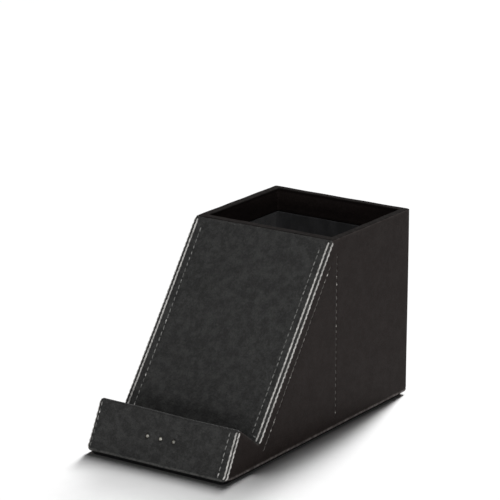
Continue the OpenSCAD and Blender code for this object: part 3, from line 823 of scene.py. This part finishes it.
def suede_material(name, dark, light):
    """Suede: a short nap, brushed in broad patches."""
    s = Shader(name)
    nap = s.noise(0.35, 4.0, 0.75)
    brushed = s.noise(7.0, 3.0, 0.6, (1.0, 1.0, 0.45))
    tone = s.mix(s.ramp(brushed, 0.36, 0.64), dark, light)
    tone = s.mix(s.ramp(nap, 0.3, 0.7, 0.5, 0.0), tone, darker(dark, 0.4))
    return s.done(tone, s.ramp(nap, 0.3, 0.7, 0.98, 0.86), nap, 0.18, 0.9,
                  Specular_IOR_Level=0.15, Sheen_Weight=0.25, Sheen_Roughness=0.5)


def foam_material(name, dark, light):
    """Closed-cell foam: small pits all over."""
    s = Shader(name)
    pits = s.cells(0.45)
    tone = s.mix(s.ramp(pits, 0.1, 0.55), dark, light)
    tone = s.mix(s.ramp(s.noise(5, 3, 0.6), 0.4, 0.6, 0, 0.5), tone, dark)
    return s.done(tone, s.ramp(pits, 0, 0.6, 0.95, 0.8), pits, 0.12, 0.8,
                  Specular_IOR_Level=0.2)


def winding_material(name):
    """Enamelled copper wire wound flat: rings about the coil's middle."""
    low, high = span("charging_coil")
    centre = (low + high) / 2 * MM
    tilt = math.atan2(FACE_DIR[1], FACE_DIR[0])
    s = Shader(name)
    local = s.node("VectorMath", {0: s.coord, 1: tuple(centre)}, operation="SUBTRACT")
    flat = s.node("Mapping", {"Vector": local.outputs[0], "Rotation": (-tilt, 0, 0)})
    turns = s.node("TexWave", {"Vector": flat.outputs[0], "Scale": WIRE_WAVES,
                               "Distortion": 0.4, "Detail": 1.0}, wave_type="RINGS",
                   rings_direction="Z").outputs["Fac"]
    tone = s.mix(s.ramp(turns, 0.15, 0.6), (0.12, 0.035, 0.012), (0.62, 0.27, 0.10))
    return s.done(tone, s.ramp(s.noise(2.0), 0.3, 0.7, 0.28, 0.42), turns, 0.2, 0.9,
                  Metallic=0.85, Coat_Weight=0.3)


def board_material(name):
    """Circuit board: green mask over a mesh of tracks, with pads in rows."""
    s = Shader(name)
    tracks = s.node("TexBrick", {"Vector": s.coord, "Scale": 1 / (3.2 * MM),
                                 "Mortar Size": 0.06, "Brick Width": 0.7, "Row Height": 0.3},
                    offset=0.37).outputs["Fac"]
    tone = s.mix(tracks, (0.004, 0.055, 0.028), (0.012, 0.13, 0.06))
    pads = s.ramp(s.cells(1.9, randomness=0.3), 0.12, 0.2, 1, 0)
    tone = s.mix(s.math("MULTIPLY", pads, 0.6), tone, (0.55, 0.42, 0.18))
    return s.done(tone, s.ramp(s.noise(3), 0.3, 0.7, 0.28, 0.4),
                  s.math("ADD", tracks, pads), 0.05, 0.5, Coat_Weight=0.2)


def fibre_material(name, dark, light):
    """Pressed fibre board: long fibres and darker flecks."""
    s = Shader(name)
    fibres = s.noise(0.9, 5.0, 0.7, (0.25, 1.0, 1.4), 1.2)
    tone = s.mix(s.ramp(fibres, 0.35, 0.65), dark, light)
    tone = s.mix(s.ramp(s.noise(0.7), 0.62, 0.7), tone, darker(dark, 0.35))
    return s.done(tone, s.ramp(fibres, 0.3, 0.7, 0.92, 0.78), fibres, 0.12, 0.7,
                  Specular_IOR_Level=0.2)


def ribbon_material(name):
    """Flat cable: pale sheath with the wires showing as ridges along it."""
    s = Shader(name)
    wires = s.node("TexWave", {"Vector": s.coord, "Scale": WIRE_WAVES},
                   bands_direction="X").outputs["Fac"]
    tone = s.mix(s.ramp(wires, 0.3, 0.8), (0.20, 0.20, 0.21), (0.45, 0.45, 0.46))
    return s.done(tone, s.ramp(s.noise(2), 0.3, 0.7, 0.42, 0.55), wires, 0.12, 0.8)


def lens_material(name):
    """Milky lens with a painted glow: its colour is painted pale and warm where the glow
    attribute says, standing in for the LED's light; no lamp is there.
    """
    s = Shader(name)
    haze = s.noise(0.5, 3.0, 0.6)
    painted_glow_colour = s.mix(s.ramp(haze, 0.35, 0.65), (0.52, 0.50, 0.44), (0.80, 0.78, 0.70))
    # Painted glow: dark where unlit, pale and warm at each light's middle.
    tone = s.mix(s.attribute("painted_glow"), (0.035, 0.035, 0.032), painted_glow_colour)
    return s.done(tone, s.ramp(haze, 0.3, 0.7, 0.3, 0.18), haze, 0.03, 0.4,
                  Subsurface_Weight=0.3, Subsurface_Radius=(0.001, 0.0009, 0.0007),
                  Coat_Weight=0.4)


FRONT_LEATHER = leather(
    "front_leather", dark=(0.020, 0.020, 0.0195), light=(0.050, 0.050, 0.0488),
    worn_and_highlight=(0.16, 0.157, 0.15), pore=0.75, relief=0.20, gloss=0.56, uneven=1.0, specular=0.3)
SIDE_LEATHER = leather(
    "side_leather", dark=(0.0165, 0.0117, 0.0105), light=(0.0192, 0.0138, 0.0125),
    worn_and_highlight=(0.22, 0.20, 0.19), pore=0.62, relief=0.05, gloss=0.62, uneven=0.3, specular=0.10)
RIM_LEATHER = leather(
    "rim_leather", dark=(0.0170, 0.0130, 0.0122), light=(0.0220, 0.0172, 0.0162),
    worn_and_highlight=(0.05, 0.046, 0.043), pore=0.62, relief=0.07, gloss=0.86, uneven=0.6, specular=0.02)
CORNER_THREAD = thread_material("corner_thread", (0.34, 0.332, 0.318), (0.64, 0.625, 0.60))
BEAD_THREAD = thread_material("bead_thread", (0.09, 0.09, 0.086), (0.26, 0.26, 0.25),
                              (0.62, 0.61, 0.59))
FINE_THREAD = thread_material("fine_thread", (0.065, 0.060, 0.056), (0.125, 0.116, 0.108),
                              (0.55, 0.53, 0.50))
SUEDE = suede_material("suede", (0.030, 0.030, 0.032), (0.055, 0.055, 0.058))
# Black foam, made darker than its own colour as painted shade for the shade under the leather's
# overhang.
FOAM_AND_SHADE = foam_material("pad_foam", (0.0012, 0.0012, 0.0013), (0.0036, 0.0036, 0.0038))
LENS = lens_material("lens")


# ---------------------------------------------------------------- leather pieces

LIGHT_LOW, LIGHT_HIGH = span("indicator_lenses")
LENS_R = 1.0
LENS_SLACK = 0.08            # gap between a lens and the leather round it
PAINTED_GLOW = [0.75, 1.0, 0.45]     # how bright each light's painted glow is
# How far each light's painted glow spreads.
PAINTED_GLOW_R = 0.75
LIGHT_U = path_u((LIGHT_LOW[1:] + LIGHT_HIGH[1:]) / 2 + left_of(LIP_DIR) * 2)
LIGHT_X = [LIGHT_LOW[0] + LENS_R, (LIGHT_LOW[0] + LIGHT_HIGH[0]) / 2, LIGHT_HIGH[0] - LENS_R]
TURN_UNDER = 1.0             # how far the front's leather turns under the foot


def from_light(u, x, at):
    """Distance from the middle of the light at x = at, on the unrolled front."""
    return np.hypot(u - LIGHT_U, x - at)


def front_height(p):
    u, x = p.T
    edge = HALF_W - np.abs(x)
    h = ripple(u, x, 0.7) * smooth(edge / 3)
    h -= edge_drop(edge, EDGE_R)
    h -= seam_pinch(edge, EDGE_R * MITRE)
    h += foot_fold(np.maximum(u - U_LIP, 0)) * (u > U_LIP - TURN_UNDER)
    for at in LIGHT_X:
        d = from_light(u, x, at)
        h -= 0.62 * bell(np.maximum(d - LENS_R, 0), 0.42)
        h += 0.10 * bell(d - 2.2, 0.5)
    return h


def edge_wear(d, reach):
    """1 at an edge and beyond it, fading out over about the reach."""
    return bell(np.maximum(d, 0), reach)


def fold_highlight(d):
    """Painted highlight on the bead of the foot's fold, by distance from the foot."""
    return bell(d - FOLD_AT, 0.5)


# Paler for rubbed edges, and a painted highlight along the foot's fold.
def front_wear_and_highlight(p):
    u, x = p.T
    return np.clip(0.25 * edge_wear(HALF_W - np.abs(x), 0.7)
                   + 0.05 * bell(u - U_LIP_TOP, 1.6) + 0.1 * bell(u - U_FACE_TOP, 1.6)
                   + 0.6 * fold_highlight(u - U_LIP), 0, 1)


def front_dye_and_shade(p):
    """Painted shade over the lip's top and the charging face's top edge, where the suns
    light the rounding; darker dye along the seams; and darker round the lights, in the
    dip the leather makes there."""
    u, x = p.T
    seam = edge_wear(HALF_W - np.abs(x) - EDGE_R * MITRE, 0.3)
    lens = sum(bell(from_light(u, x, at) - LENS_R, 0.7) for at in LIGHT_X)
    return np.clip(0.8 * bell(u - U_LIP_TOP, 1.1) + 0.4 * bell(u - U_FACE_TOP, 1.6)
                   + 0.8 * seam + 0.5 * lens, 0, 0.9)


def build_front():
    edge = HALF_W - EDGE_R * MITRE
    u0, u1 = U_LIP - TURN_UNDER, U_FACE_TOP
    outline = np.array([(u0, edge), (u0, -edge), (u1, -edge), (u1, edge)])[::-1]
    rows = [one for group in FRONT_ROWS.values() for one in group]
    folds = [[(u, -edge), (u, edge)] for u in (U_LIP, U_LIP_TOP, U_NOTCH, U_FACE_TOP - 1)]
    lights = [[(LIGHT_U - 1.5, x), (LIGHT_U + 1.5, x)] for x in LIGHT_X]
    holes = [circle((LIGHT_U, x), LENS_R + LENS_SLACK)[::-1] for x in LIGHT_X]
    leather_sheet("front_leather",
                  ["lip_cover", "ledge_cover", "charging_cover"], outline, holes, rows,
                  folds + lights,
                  (front_height, front_wear_and_highlight, front_dye_and_shade, place_front), FRONT_LEATHER,
                  [(0.5, 1.6), (4.0, FAR)])


# The profile from foot to top, as the edge of a side sheet sees it
FRONT_CHAIN = PATH_P[(PATH_U > U_LIP - 0.9) & (PATH_U < U_FACE_TOP + 0.1)]


def side_outline():
    """The side's outline, in from the front by the mitre, counter-clockwise."""
    inset = EDGE_R * MITRE
    front = (PATH_P - PATH_N * inset)[(PATH_U > U_LIP - 0.2) & (PATH_U < U_FACE_TOP - 0.6)]
    top = TOP_Z - TOP_R * MITRE
    line = FACE_TOP - left_of(FACE_DIR) * inset
    reach = (top - line[1]) / FACE_DIR[1]
    back = BACK_Y - BACK_R * MITRE
    corners = [line + FACE_DIR * reach, (back, top), (back, FOOT_Z), (FOOT[0] + 1.6, FOOT_Z)]
    return np.vstack([front, corners])[::-1]


def side_height(p):
    y, z = p.T
    front = distance_to(p, FRONT_CHAIN)
    drop = np.max([edge_drop(front, EDGE_R), edge_drop(TOP_Z - z, TOP_R),
                   edge_drop(BACK_Y - y, BACK_R), edge_drop(z - FOOT_Z, FOOT_R)], axis=0)
    inner = np.minimum(np.minimum(front, TOP_Z - z), BACK_Y - y)
    h = ripple(y, z, 1.9) * smooth(inner / 3) - drop
    return h - seam_pinch(front, EDGE_R * MITRE) + foot_fold(z - FOOT_Z)


# Paler for rubbed edges, and a painted highlight along the foot's fold.
def side_wear_and_highlight(p):
    y, z = p.T
    return np.clip(0.25 * edge_wear(distance_to(p, FRONT_CHAIN), 0.7)
                   + 0.1 * edge_wear(TOP_Z - z, 0.9) + 0.08 * edge_wear(BACK_Y - y, 1.0)
                   + 0.9 * fold_highlight(z - FOOT_Z), 0, 1)


def side_dye(p):
    """Darker dye along the seam with the front."""
    return 0.8 * edge_wear(distance_to(p, FRONT_CHAIN) - EDGE_R * MITRE, 0.3)


def build_side(name, side):
    rows = [one for group in SIDE_ROWS.values() for one in group]
    leather_sheet("side_leather_" + name, ["side_cover_" + name],
                  side_outline(), [], rows, [],
                  (side_height, side_wear_and_highlight, side_dye, place_side(side)), SIDE_LEATHER,
                  [(1.0, 0.0), (8.0, FAR)])


BEZEL_LOW, BEZEL_HIGH = span("socket_bezel")
BEZEL_FLANGE = 1.2       # how far the bezel's flange covers the leather
BEZEL_CORNER = 3.2       # rounding of the inlet's corners
BEZEL_SLACK = 0.1        # gap between the bezel and the leather

# The hole round the inlet's bezel, in x and z
INLET_LOW = BEZEL_LOW[[0, 2]] + BEZEL_FLANGE - BEZEL_SLACK
INLET_HIGH = BEZEL_HIGH[[0, 2]] - BEZEL_FLANGE + BEZEL_SLACK
INLET = rounded_rectangle(INLET_LOW[0], INLET_HIGH[0], INLET_LOW[1], INLET_HIGH[1],
                          BEZEL_CORNER + BEZEL_SLACK, 12, 6)


def back_height(p):
    x, z = p.T
    side = HALF_W - np.abs(x)
    drop = np.max([edge_drop(side, BACK_R), edge_drop(TOP_Z - z, TOP_R),
                   edge_drop(z - FOOT_Z, FOOT_R)], axis=0)
    h = ripple(x, z, 3.1) * smooth(np.minimum(side, TOP_Z - z) / 3) - drop
    h -= 0.35 * bell(distance_to(p, shut(INLET)), 0.5)
    return h - seam_pinch(side, BACK_R * MITRE) + foot_fold(z - FOOT_Z)


# Paler for rubbed edges, and a weaker painted highlight along the foot's fold.
def back_wear_and_highlight(p):
    x, z = p.T
    return np.clip(0.08 * edge_wear(HALF_W - np.abs(x), 1.0)
                   + 0.06 * edge_wear(TOP_Z - z, 0.9) + 0.2 * fold_highlight(z - FOOT_Z), 0, 1)


def back_inlet_darkening(p):
    """Darker round the inlet, in the groove the leather makes there."""
    return 0.8 * edge_wear(distance_to(p, shut(INLET)), 0.5)


def build_back():
    edge, top = HALF_W - BACK_R * MITRE, TOP_Z - TOP_R * MITRE
    outline = np.array([(-edge, FOOT_Z), (edge, FOOT_Z), (edge, top), (-edge, top)])
    leather_sheet("back_leather", ["back_cover"], outline, [INLET[::-1]],
                  [], [shut(INLET)],
                  (back_height, back_wear_and_highlight, back_inlet_darkening, place_back), SIDE_LEATHER,
                  [(1.0, 1.5), (8.0, FAR)])


# ---------------------------------------------------------------- rim, lining, pad, lights

RIM_FOOT = span("rim_binding")[0][2]
CUP_X = span("cup_lining_right")[0][0]
CUP_FRONT = span("cup_lining_front")[1][1]
CUP_BACK = span("cup_lining_back")[0][1]
BOARD_X = span("side_board_right")[0][0]
CUP_FLOOR = span("cup_lining_floor")[1][2]
CUP_UNDER = span("cup_lining_floor")[0][2]
LINING_T = BOARD_X - CUP_X
WALL = HALF_W - CUP_X
RIM_INNER_R = 0.9        # rounding of the rim on the cup's side
RIM_CORNER = 1.1         # rounding of the rim's upright corners
CUP_FILLET = 2.0         # rounding between the lining's walls and floor
CUP_CORNER = 1.8         # rounding of the lining's upright corners
LENS_DEPTH = 0.22        # how far a lens sits under the leather's surface
LENS_SIDES = 28
# Outline of a lens from the middle of its dome to the middle of its end: radius as a
# share of LENS_R, and height
LENS_RINGS = [(0.0, 0.0), (0.3, -0.02), (0.6, -0.09), (0.85, -0.22), (0.97, -0.42),
              (1.0, -0.7), (1.0, -2.0), (1.0, -3.4), (0.6, -3.5), (0.0, -3.5)]
# Half section of the foam pad: inset from its edge, and height
PAD_RINGS = [(30, 0.0), (12, 0.0), (3, 0.0), (0.7, 0.0), (0.3, 0.08), (0.05, 0.35),
             (0.0, 0.8), (0.08, 1.25), (0.35, 1.52), (0.8, 1.6), (6, 1.6), (30, 1.6)]
PAD_CORNER = 3.2
PAD_BULGE = 0.12


def rim_loop(outer, z):
    """Loop round the rim. Outer is 1 on the outer faces and 0 on the cup's inside."""
    x = CUP_X + WALL * outer
    front = CUP_FRONT + (FACE_TOP[0] - CUP_FRONT) * outer
    back = CUP_BACK + (BACK_Y - CUP_BACK) * outer
    return rectangle_at(z, -x, x, front, back, RIM_CORNER)


def build_rim():
    """Leather over the rim: up from the outer mitre, over the top, down inside the cup,
    then back up behind the lining."""
    loops = []
    for t in np.radians((45, 56, 67, 78, 90)):
        loops.append(rim_loop(1 - TOP_R * (1 - math.cos(t)) / WALL,
                              TOP_Z - TOP_R * (1 - math.sin(t))))
    for share in (0.68, 0.5, 0.34):
        loops.append(rim_loop(share, TOP_Z - 0.05 * math.sin(share * 3)))
    for t in np.radians((90, 68, 45, 22, 0)):
        loops.append(rim_loop(RIM_INNER_R * (1 - math.cos(t)) / WALL,
                              TOP_Z - RIM_INNER_R * (1 - math.sin(t))))
    for z in np.linspace(TOP_Z - 2.2, RIM_FOOT + 0.5, 9):
        loops.append(rim_loop(-0.015 * math.sin(z), z))
    glued = LINING_T / WALL
    for outer, z in ((0.03, RIM_FOOT + 0.12), (glued / 2, RIM_FOOT), (glued, RIM_FOOT),
                     (glued, TOP_Z - LEATHER_T), (1 - LEATHER_T / WALL, TOP_Z - LEATHER_T)):
        loops.append(rim_loop(outer, z))
    vertices, faces = loft(loops, True)
    x, y, z = vertices.T
    vertices[:, 2] += 0.05 * np.sin(x / 4.1 + y / 3.7) * smooth(z - TOP_Z + 1)
    piece = make_object("rim_leather", settle(vertices), faces, RIM_LEATHER)
    paint(piece, "wear_and_highlight", 0.12 * smooth((z - TOP_Z + 0.9) / 0.9))
    # Painted shade: the rim's top is darkened, where the suns light it.
    paint(piece, "dye_and_shade", 0.9 * smooth((z - TOP_Z + 1.6) / 0.8))
    face_out(piece)
    stands_for(piece, ["rim_binding"])


def cup_loop(inset, z, radius):
    """Loop round the cup's inside, inset from its walls."""
    return rectangle_at(z, -CUP_X + inset, CUP_X - inset, CUP_FRONT + inset,
                        CUP_BACK - inset, radius, 30)


def build_lining():
    """Suede glued round the cup's inside and over its floor, one closed skin."""
    floor_top = CUP_FLOOR + CUP_FILLET
    loops = [cup_loop(-LINING_T, CUP_UNDER, 1.2), cup_loop(-LINING_T, RIM_FOOT, 1.2),
             cup_loop(0.02, RIM_FOOT, CUP_CORNER)]
    loops += [cup_loop(0, z, CUP_CORNER) for z in np.linspace(RIM_FOOT - 0.6, floor_top, 34)]
    for t in np.radians((18, 36, 54, 72, 90)):
        loops.append(cup_loop(CUP_FILLET * (1 - math.cos(t)),
                              CUP_FLOOR + CUP_FILLET * (1 - math.sin(t)),
                              CUP_CORNER + 0.3 * math.sin(t)))
    loops += [cup_loop(inset, CUP_FLOOR, 2.0) for inset in (4, 7, 11, 16, 22, 28, 31)]
    vertices, faces = loft(loops, False)
    x, y, z = vertices.T
    soft = smooth((RIM_FOOT - z) / 3) * (z > CUP_FLOOR - 0.1)
    push = np.abs(0.10 * np.sin(x / 6.3 + z / 9.1) + 0.08 * np.sin(y / 5.1 - z / 7.7))
    vertices[:, 0] -= np.sign(x) * push * soft * (np.abs(x) > CUP_X - 0.5)
    vertices[:, 2] += push * (np.abs(z - CUP_FLOOR) < 0.05) * 0.8
    piece = make_object("cup_lining", vertices, faces, SUEDE)
    face_out(piece)
    stands_for(piece, ["cup_lining_left", "cup_lining_right", "cup_lining_front",
                                "cup_lining_back", "cup_lining_floor"])


def build_pad():
    """Foam pad: soft rounded edge, slightly bulged where the weight presses on it."""
    low, high = span("base_pad")
    loops = [rectangle_at(z, low[0] + inset, high[0] - inset, low[1] + inset,
                          high[1] - inset, PAD_CORNER, 60) for inset, z in PAD_RINGS]
    vertices, faces = loft(loops, False)
    x, y, z = vertices.T
    middle = (z > 0.2) & (z < 1.4)
    vertices[:, 0] -= PAD_BULGE * middle * np.sign(x) * (1 + np.sin(y / 7.3)) / 2
    piece = make_object("foam_pad", vertices, faces, FOAM_AND_SHADE)
    face_out(piece)
    stands_for(piece, ["base_pad"])


def build_lenses():
    """Three milky rods whose domed ends sit just under the leather."""
    vertices, faces = [], []
    for centre in LIGHT_X:
        start = len(vertices)
        for radius, height in LENS_RINGS[1:-1]:
            ring = circle((LIGHT_U, centre), radius * LENS_R, LENS_SIDES)
            vertices += [(u, x, height - LENS_DEPTH) for u, x in ring]
        end = len(vertices) - LENS_SIDES
        for a in range(start, end, LENS_SIDES):
            b = a + LENS_SIDES
            faces += [(a + i, a + (i + 1) % LENS_SIDES, b + (i + 1) % LENS_SIDES, b + i)
                      for i in range(LENS_SIDES)]
        for ring, end_ring in ((start, LENS_RINGS[0]), (end, LENS_RINGS[-1])):
            middle = len(vertices)
            vertices.append((LIGHT_U, centre, end_ring[1] - LENS_DEPTH))
            faces += [(ring + i, ring + (i + 1) % LENS_SIDES, middle)
                      for i in range(LENS_SIDES)]
    u, x, h = np.array(vertices).T
    piece = make_object("light_lenses", settle(place_front(np.column_stack([u, x]), h)),
                        faces, LENS)
    across = np.abs(x[:, None] - LIGHT_X)
    off = np.hypot(u - LIGHT_U, across.min(axis=1))
    # Painted glow, brightest at each light's middle and fading out.
    paint(piece, "painted_glow", np.array(PAINTED_GLOW)[across.argmin(axis=1)] * bell(off, PAINTED_GLOW_R))
    face_out(piece)
    stands_for(piece, ["indicator_lenses"])


def build_stitching():
    """The threads. The rows are drawn in this order, which fixes the random draws."""
    right, left = place_side(1), place_side(-1)
    thread_piece("corner_threads_right",
                 [(FRONT_ROWS["rope_right"], ROPE, place_front, 1, 0),
                  (SIDE_ROWS["rope"], ROPE, right, -1, 0)],
                 [CORNER_THREAD], ["corner_stitching_right"])
    thread_piece("corner_threads_left",
                 [(FRONT_ROWS["rope_left"], ROPE, place_front, -1, 0),
                  # The lip's left corner row is the same white thread as the right's; the
                  # darker bead thread on it is painted shade.
                  (FRONT_ROWS["dash_left"], DASH, place_front, -1, 1),
                  (SIDE_ROWS["rope"], ROPE, left, -1, 0)],
                 [CORNER_THREAD, BEAD_THREAD], ["corner_stitching_left"])
    for name, mirror in (("right", 1), ("left", -1)):
        thread_piece("face_threads_" + name,
                     [(FRONT_ROWS["bead_" + name], BEAD, place_front, mirror, 0)],
                     [BEAD_THREAD], ["face_stitching_" + name])
    for name, place in (("right", right), ("left", left)):
        thread_piece("side_threads_" + name,
                     [(SIDE_ROWS["slant"], LONG, place, 1, 0),
                      (SIDE_ROWS["upright"], FINE, place, 1, 0)],
                     [FINE_THREAD], ["side_stitching_" + name])


# ---------------------------------------------------------------- carried-over CAD nodes

# Plain materials: dark and light colour, grain size and relief in mm, roughness, CAD nodes
PLAIN = {
    "tray_plastic": ((0.010, 0.010, 0.011), (0.022, 0.022, 0.024), 0.5, 0.05, 0.5,
                     "coil_tray led_tape"),
    "nylon": ((0.008, 0.008, 0.009), (0.016, 0.016, 0.017), 0.35, 0.04, 0.42,
              "board_standoffs socket_tongue socket_bezel"),
    "chip_black": ((0.006, 0.006, 0.007), (0.017, 0.017, 0.018), 0.2, 0.03, 0.55,
                   "control_chips power_inductor"),
    "capacitor_tan": ((0.30, 0.20, 0.10), (0.45, 0.33, 0.19), 0.6, 0.03, 0.5,
                      "resonant_capacitors"),
    "led_white": ((0.55, 0.50, 0.36), (0.78, 0.74, 0.60), 0.5, 0.02, 0.35, "indicator_leds"),
    "ferrite": ((0.030, 0.030, 0.033), (0.055, 0.055, 0.060), 0.4, 0.04, 0.6,
                "ferrite_sheet"),
}


def dress_nodes():
    """A procedural material on each CAD node that stays in view or inside."""
    nodes_of = {
        fibre_material("fibre_board", (0.13, 0.085, 0.05), (0.26, 0.18, 0.11)):
            "base_board side_board_left side_board_right lip_board ledge_board"
            " charging_board divider_board back_board cup_floor floor_rail_left"
            " floor_rail_right",
        winding_material("copper"): "charging_coil",
        board_material("circuit_board"): "control_board led_board",
        ribbon_material("ribbon_cable"): "coil_ribbon led_ribbon",
        speckled("steel", (0.42, 0.42, 0.43), (0.62, 0.62, 0.63), 0.3, 0.02, 0.3,
                 metallic=1.0, stretch=(1.0, 0.15, 1.0)):
            "tray_screws board_screws usb_socket",
    }
    for name, (dark, light, size, relief, rough, nodes) in PLAIN.items():
        nodes_of[speckled(name, dark, light, size, relief, rough)] = nodes
    for material, names in nodes_of.items():
        for name in names.split():
            data = frame["nodes"][name].data
            data.materials.clear()
            data.materials.append(material)


# ---------------------------------------------------------------- floor, light, camera

FLOOR_HALF = 6.0         # metres
FLOOR_CELLS = 12
SUN_ANGLE = 10           # degrees: how wide each sun looks, which softens its shadow
SUN_POWER = 0.86
SUN_COUNT = 6
ROOM_STRENGTH = 0.045

# The camera, as worked out from the corners of the object in the photo
AZIMUTH, ELEVATION, ROLL = np.radians((34.13, 16.08, 0.15)).tolist()
DISTANCE = 1.472         # metres from the target
TARGET = Vector((-5.18, 6.25, 91.26)) * MM
FOCAL_LENGTH, SENSOR_WIDTH = 205.7, 36


def build_floor():
    material = speckled("floor", (0.86, 0.86, 0.86), (0.88, 0.88, 0.88), size=9.0,
                        relief=0.01, rough=0.75, specular=0.1)
    n = FLOOR_CELLS + 1
    step = np.linspace(-FLOOR_HALF, FLOOR_HALF, n) / MM
    x, y = np.meshgrid(step, step, indexing="ij")
    faces = [(i * n + j, (i + 1) * n + j, (i + 1) * n + j + 1, i * n + j + 1)
             for i in range(FLOOR_CELLS) for j in range(FLOOR_CELLS)]
    vertices = np.column_stack([x.ravel(), y.ravel(), np.zeros(n * n)])
    make_object("floor", vertices, faces, material)


def add_light(name, kind, power, direction):
    """A light that shines along the direction."""
    lamp = bpy.data.lights.new(name, kind)
    lamp.energy = power
    holder = bpy.data.objects.new(name, lamp)
    holder.rotation_euler = Vector(direction).to_track_quat("-Z", "Y").to_euler()
    bpy.context.scene.collection.objects.link(holder)
    return holder


def fill_light(name, place, size, power):
    """A soft light aimed at the object, in metres. It falls on the object alone, so that
    it doesn't wash out the shadow on the floor."""
    aim = Vector((0, 0, 0.05)) - Vector(place)
    holder = add_light(name, "AREA", power, aim)
    holder.location = place
    holder.data.shape = "ELLIPSE"
    holder.data.size, holder.data.size_y = size
    lit = bpy.data.collections.new("lit_by_" + name)
    for piece in bpy.context.scene.objects:
        if piece.type == "MESH" and piece.name != "floor":
            lit.objects.link(piece)
    holder.light_linking.receiver_collection = lit


def build_light():
    """Six suns from above and behind, each leaning more than the last, make the long soft
    shadow. A dim room, a low fill from the front and one from above light the object."""
    scene = bpy.context.scene
    scene.world = bpy.data.worlds.new("studio")
    scene.world.use_nodes = True
    background = scene.world.node_tree.nodes["Background"]
    background.inputs["Color"].default_value = (1, 1, 1, 1)
    background.inputs["Strength"].default_value = ROOM_STRENGTH
    scene.view_settings.view_transform = "Standard"
    for k in range(SUN_COUNT):
        sun = add_light("key_%d" % k, "SUN", SUN_POWER, (0.10 + 0.04 * k, -0.66 - 0.17 * k, -1))
        sun.data.angle = math.radians(SUN_ANGLE)
    fill_light("front", (0.95, -1.45, 0.16), (1.6, 0.26), 12.6)
    fill_light("overhead", (0.45, -0.5, 1.25), (0.9, 0.9), 7.0)


def build_camera():
    """The photo's view."""
    back = Vector((math.sin(AZIMUTH) * math.cos(ELEVATION),
                   -math.cos(AZIMUTH) * math.cos(ELEVATION), math.sin(ELEVATION)))
    camera = bpy.data.objects.new("camera", bpy.data.cameras.new("camera"))
    camera.location = TARGET + back * DISTANCE
    turn = back.to_track_quat("Z", "Y").to_matrix()
    right, up = turn.col[0].copy(), turn.col[1].copy()
    c, s = math.cos(ROLL), math.sin(ROLL)
    turn.col[0], turn.col[1] = right * c + up * s, up * c - right * s
    camera.rotation_euler = turn.to_euler()
    camera.data.lens = FOCAL_LENGTH
    camera.data.sensor_width = SENSOR_WIDTH
    camera.data.clip_end = 50
    bpy.context.scene.collection.objects.link(camera)
    bpy.context.scene.camera = camera


build_camera()
build_floor()
build_front()
build_side("right", 1)
build_side("left", -1)
build_back()
build_rim()
build_lining()
build_pad()
build_lenses()
build_stitching()
dress_nodes()
build_light()
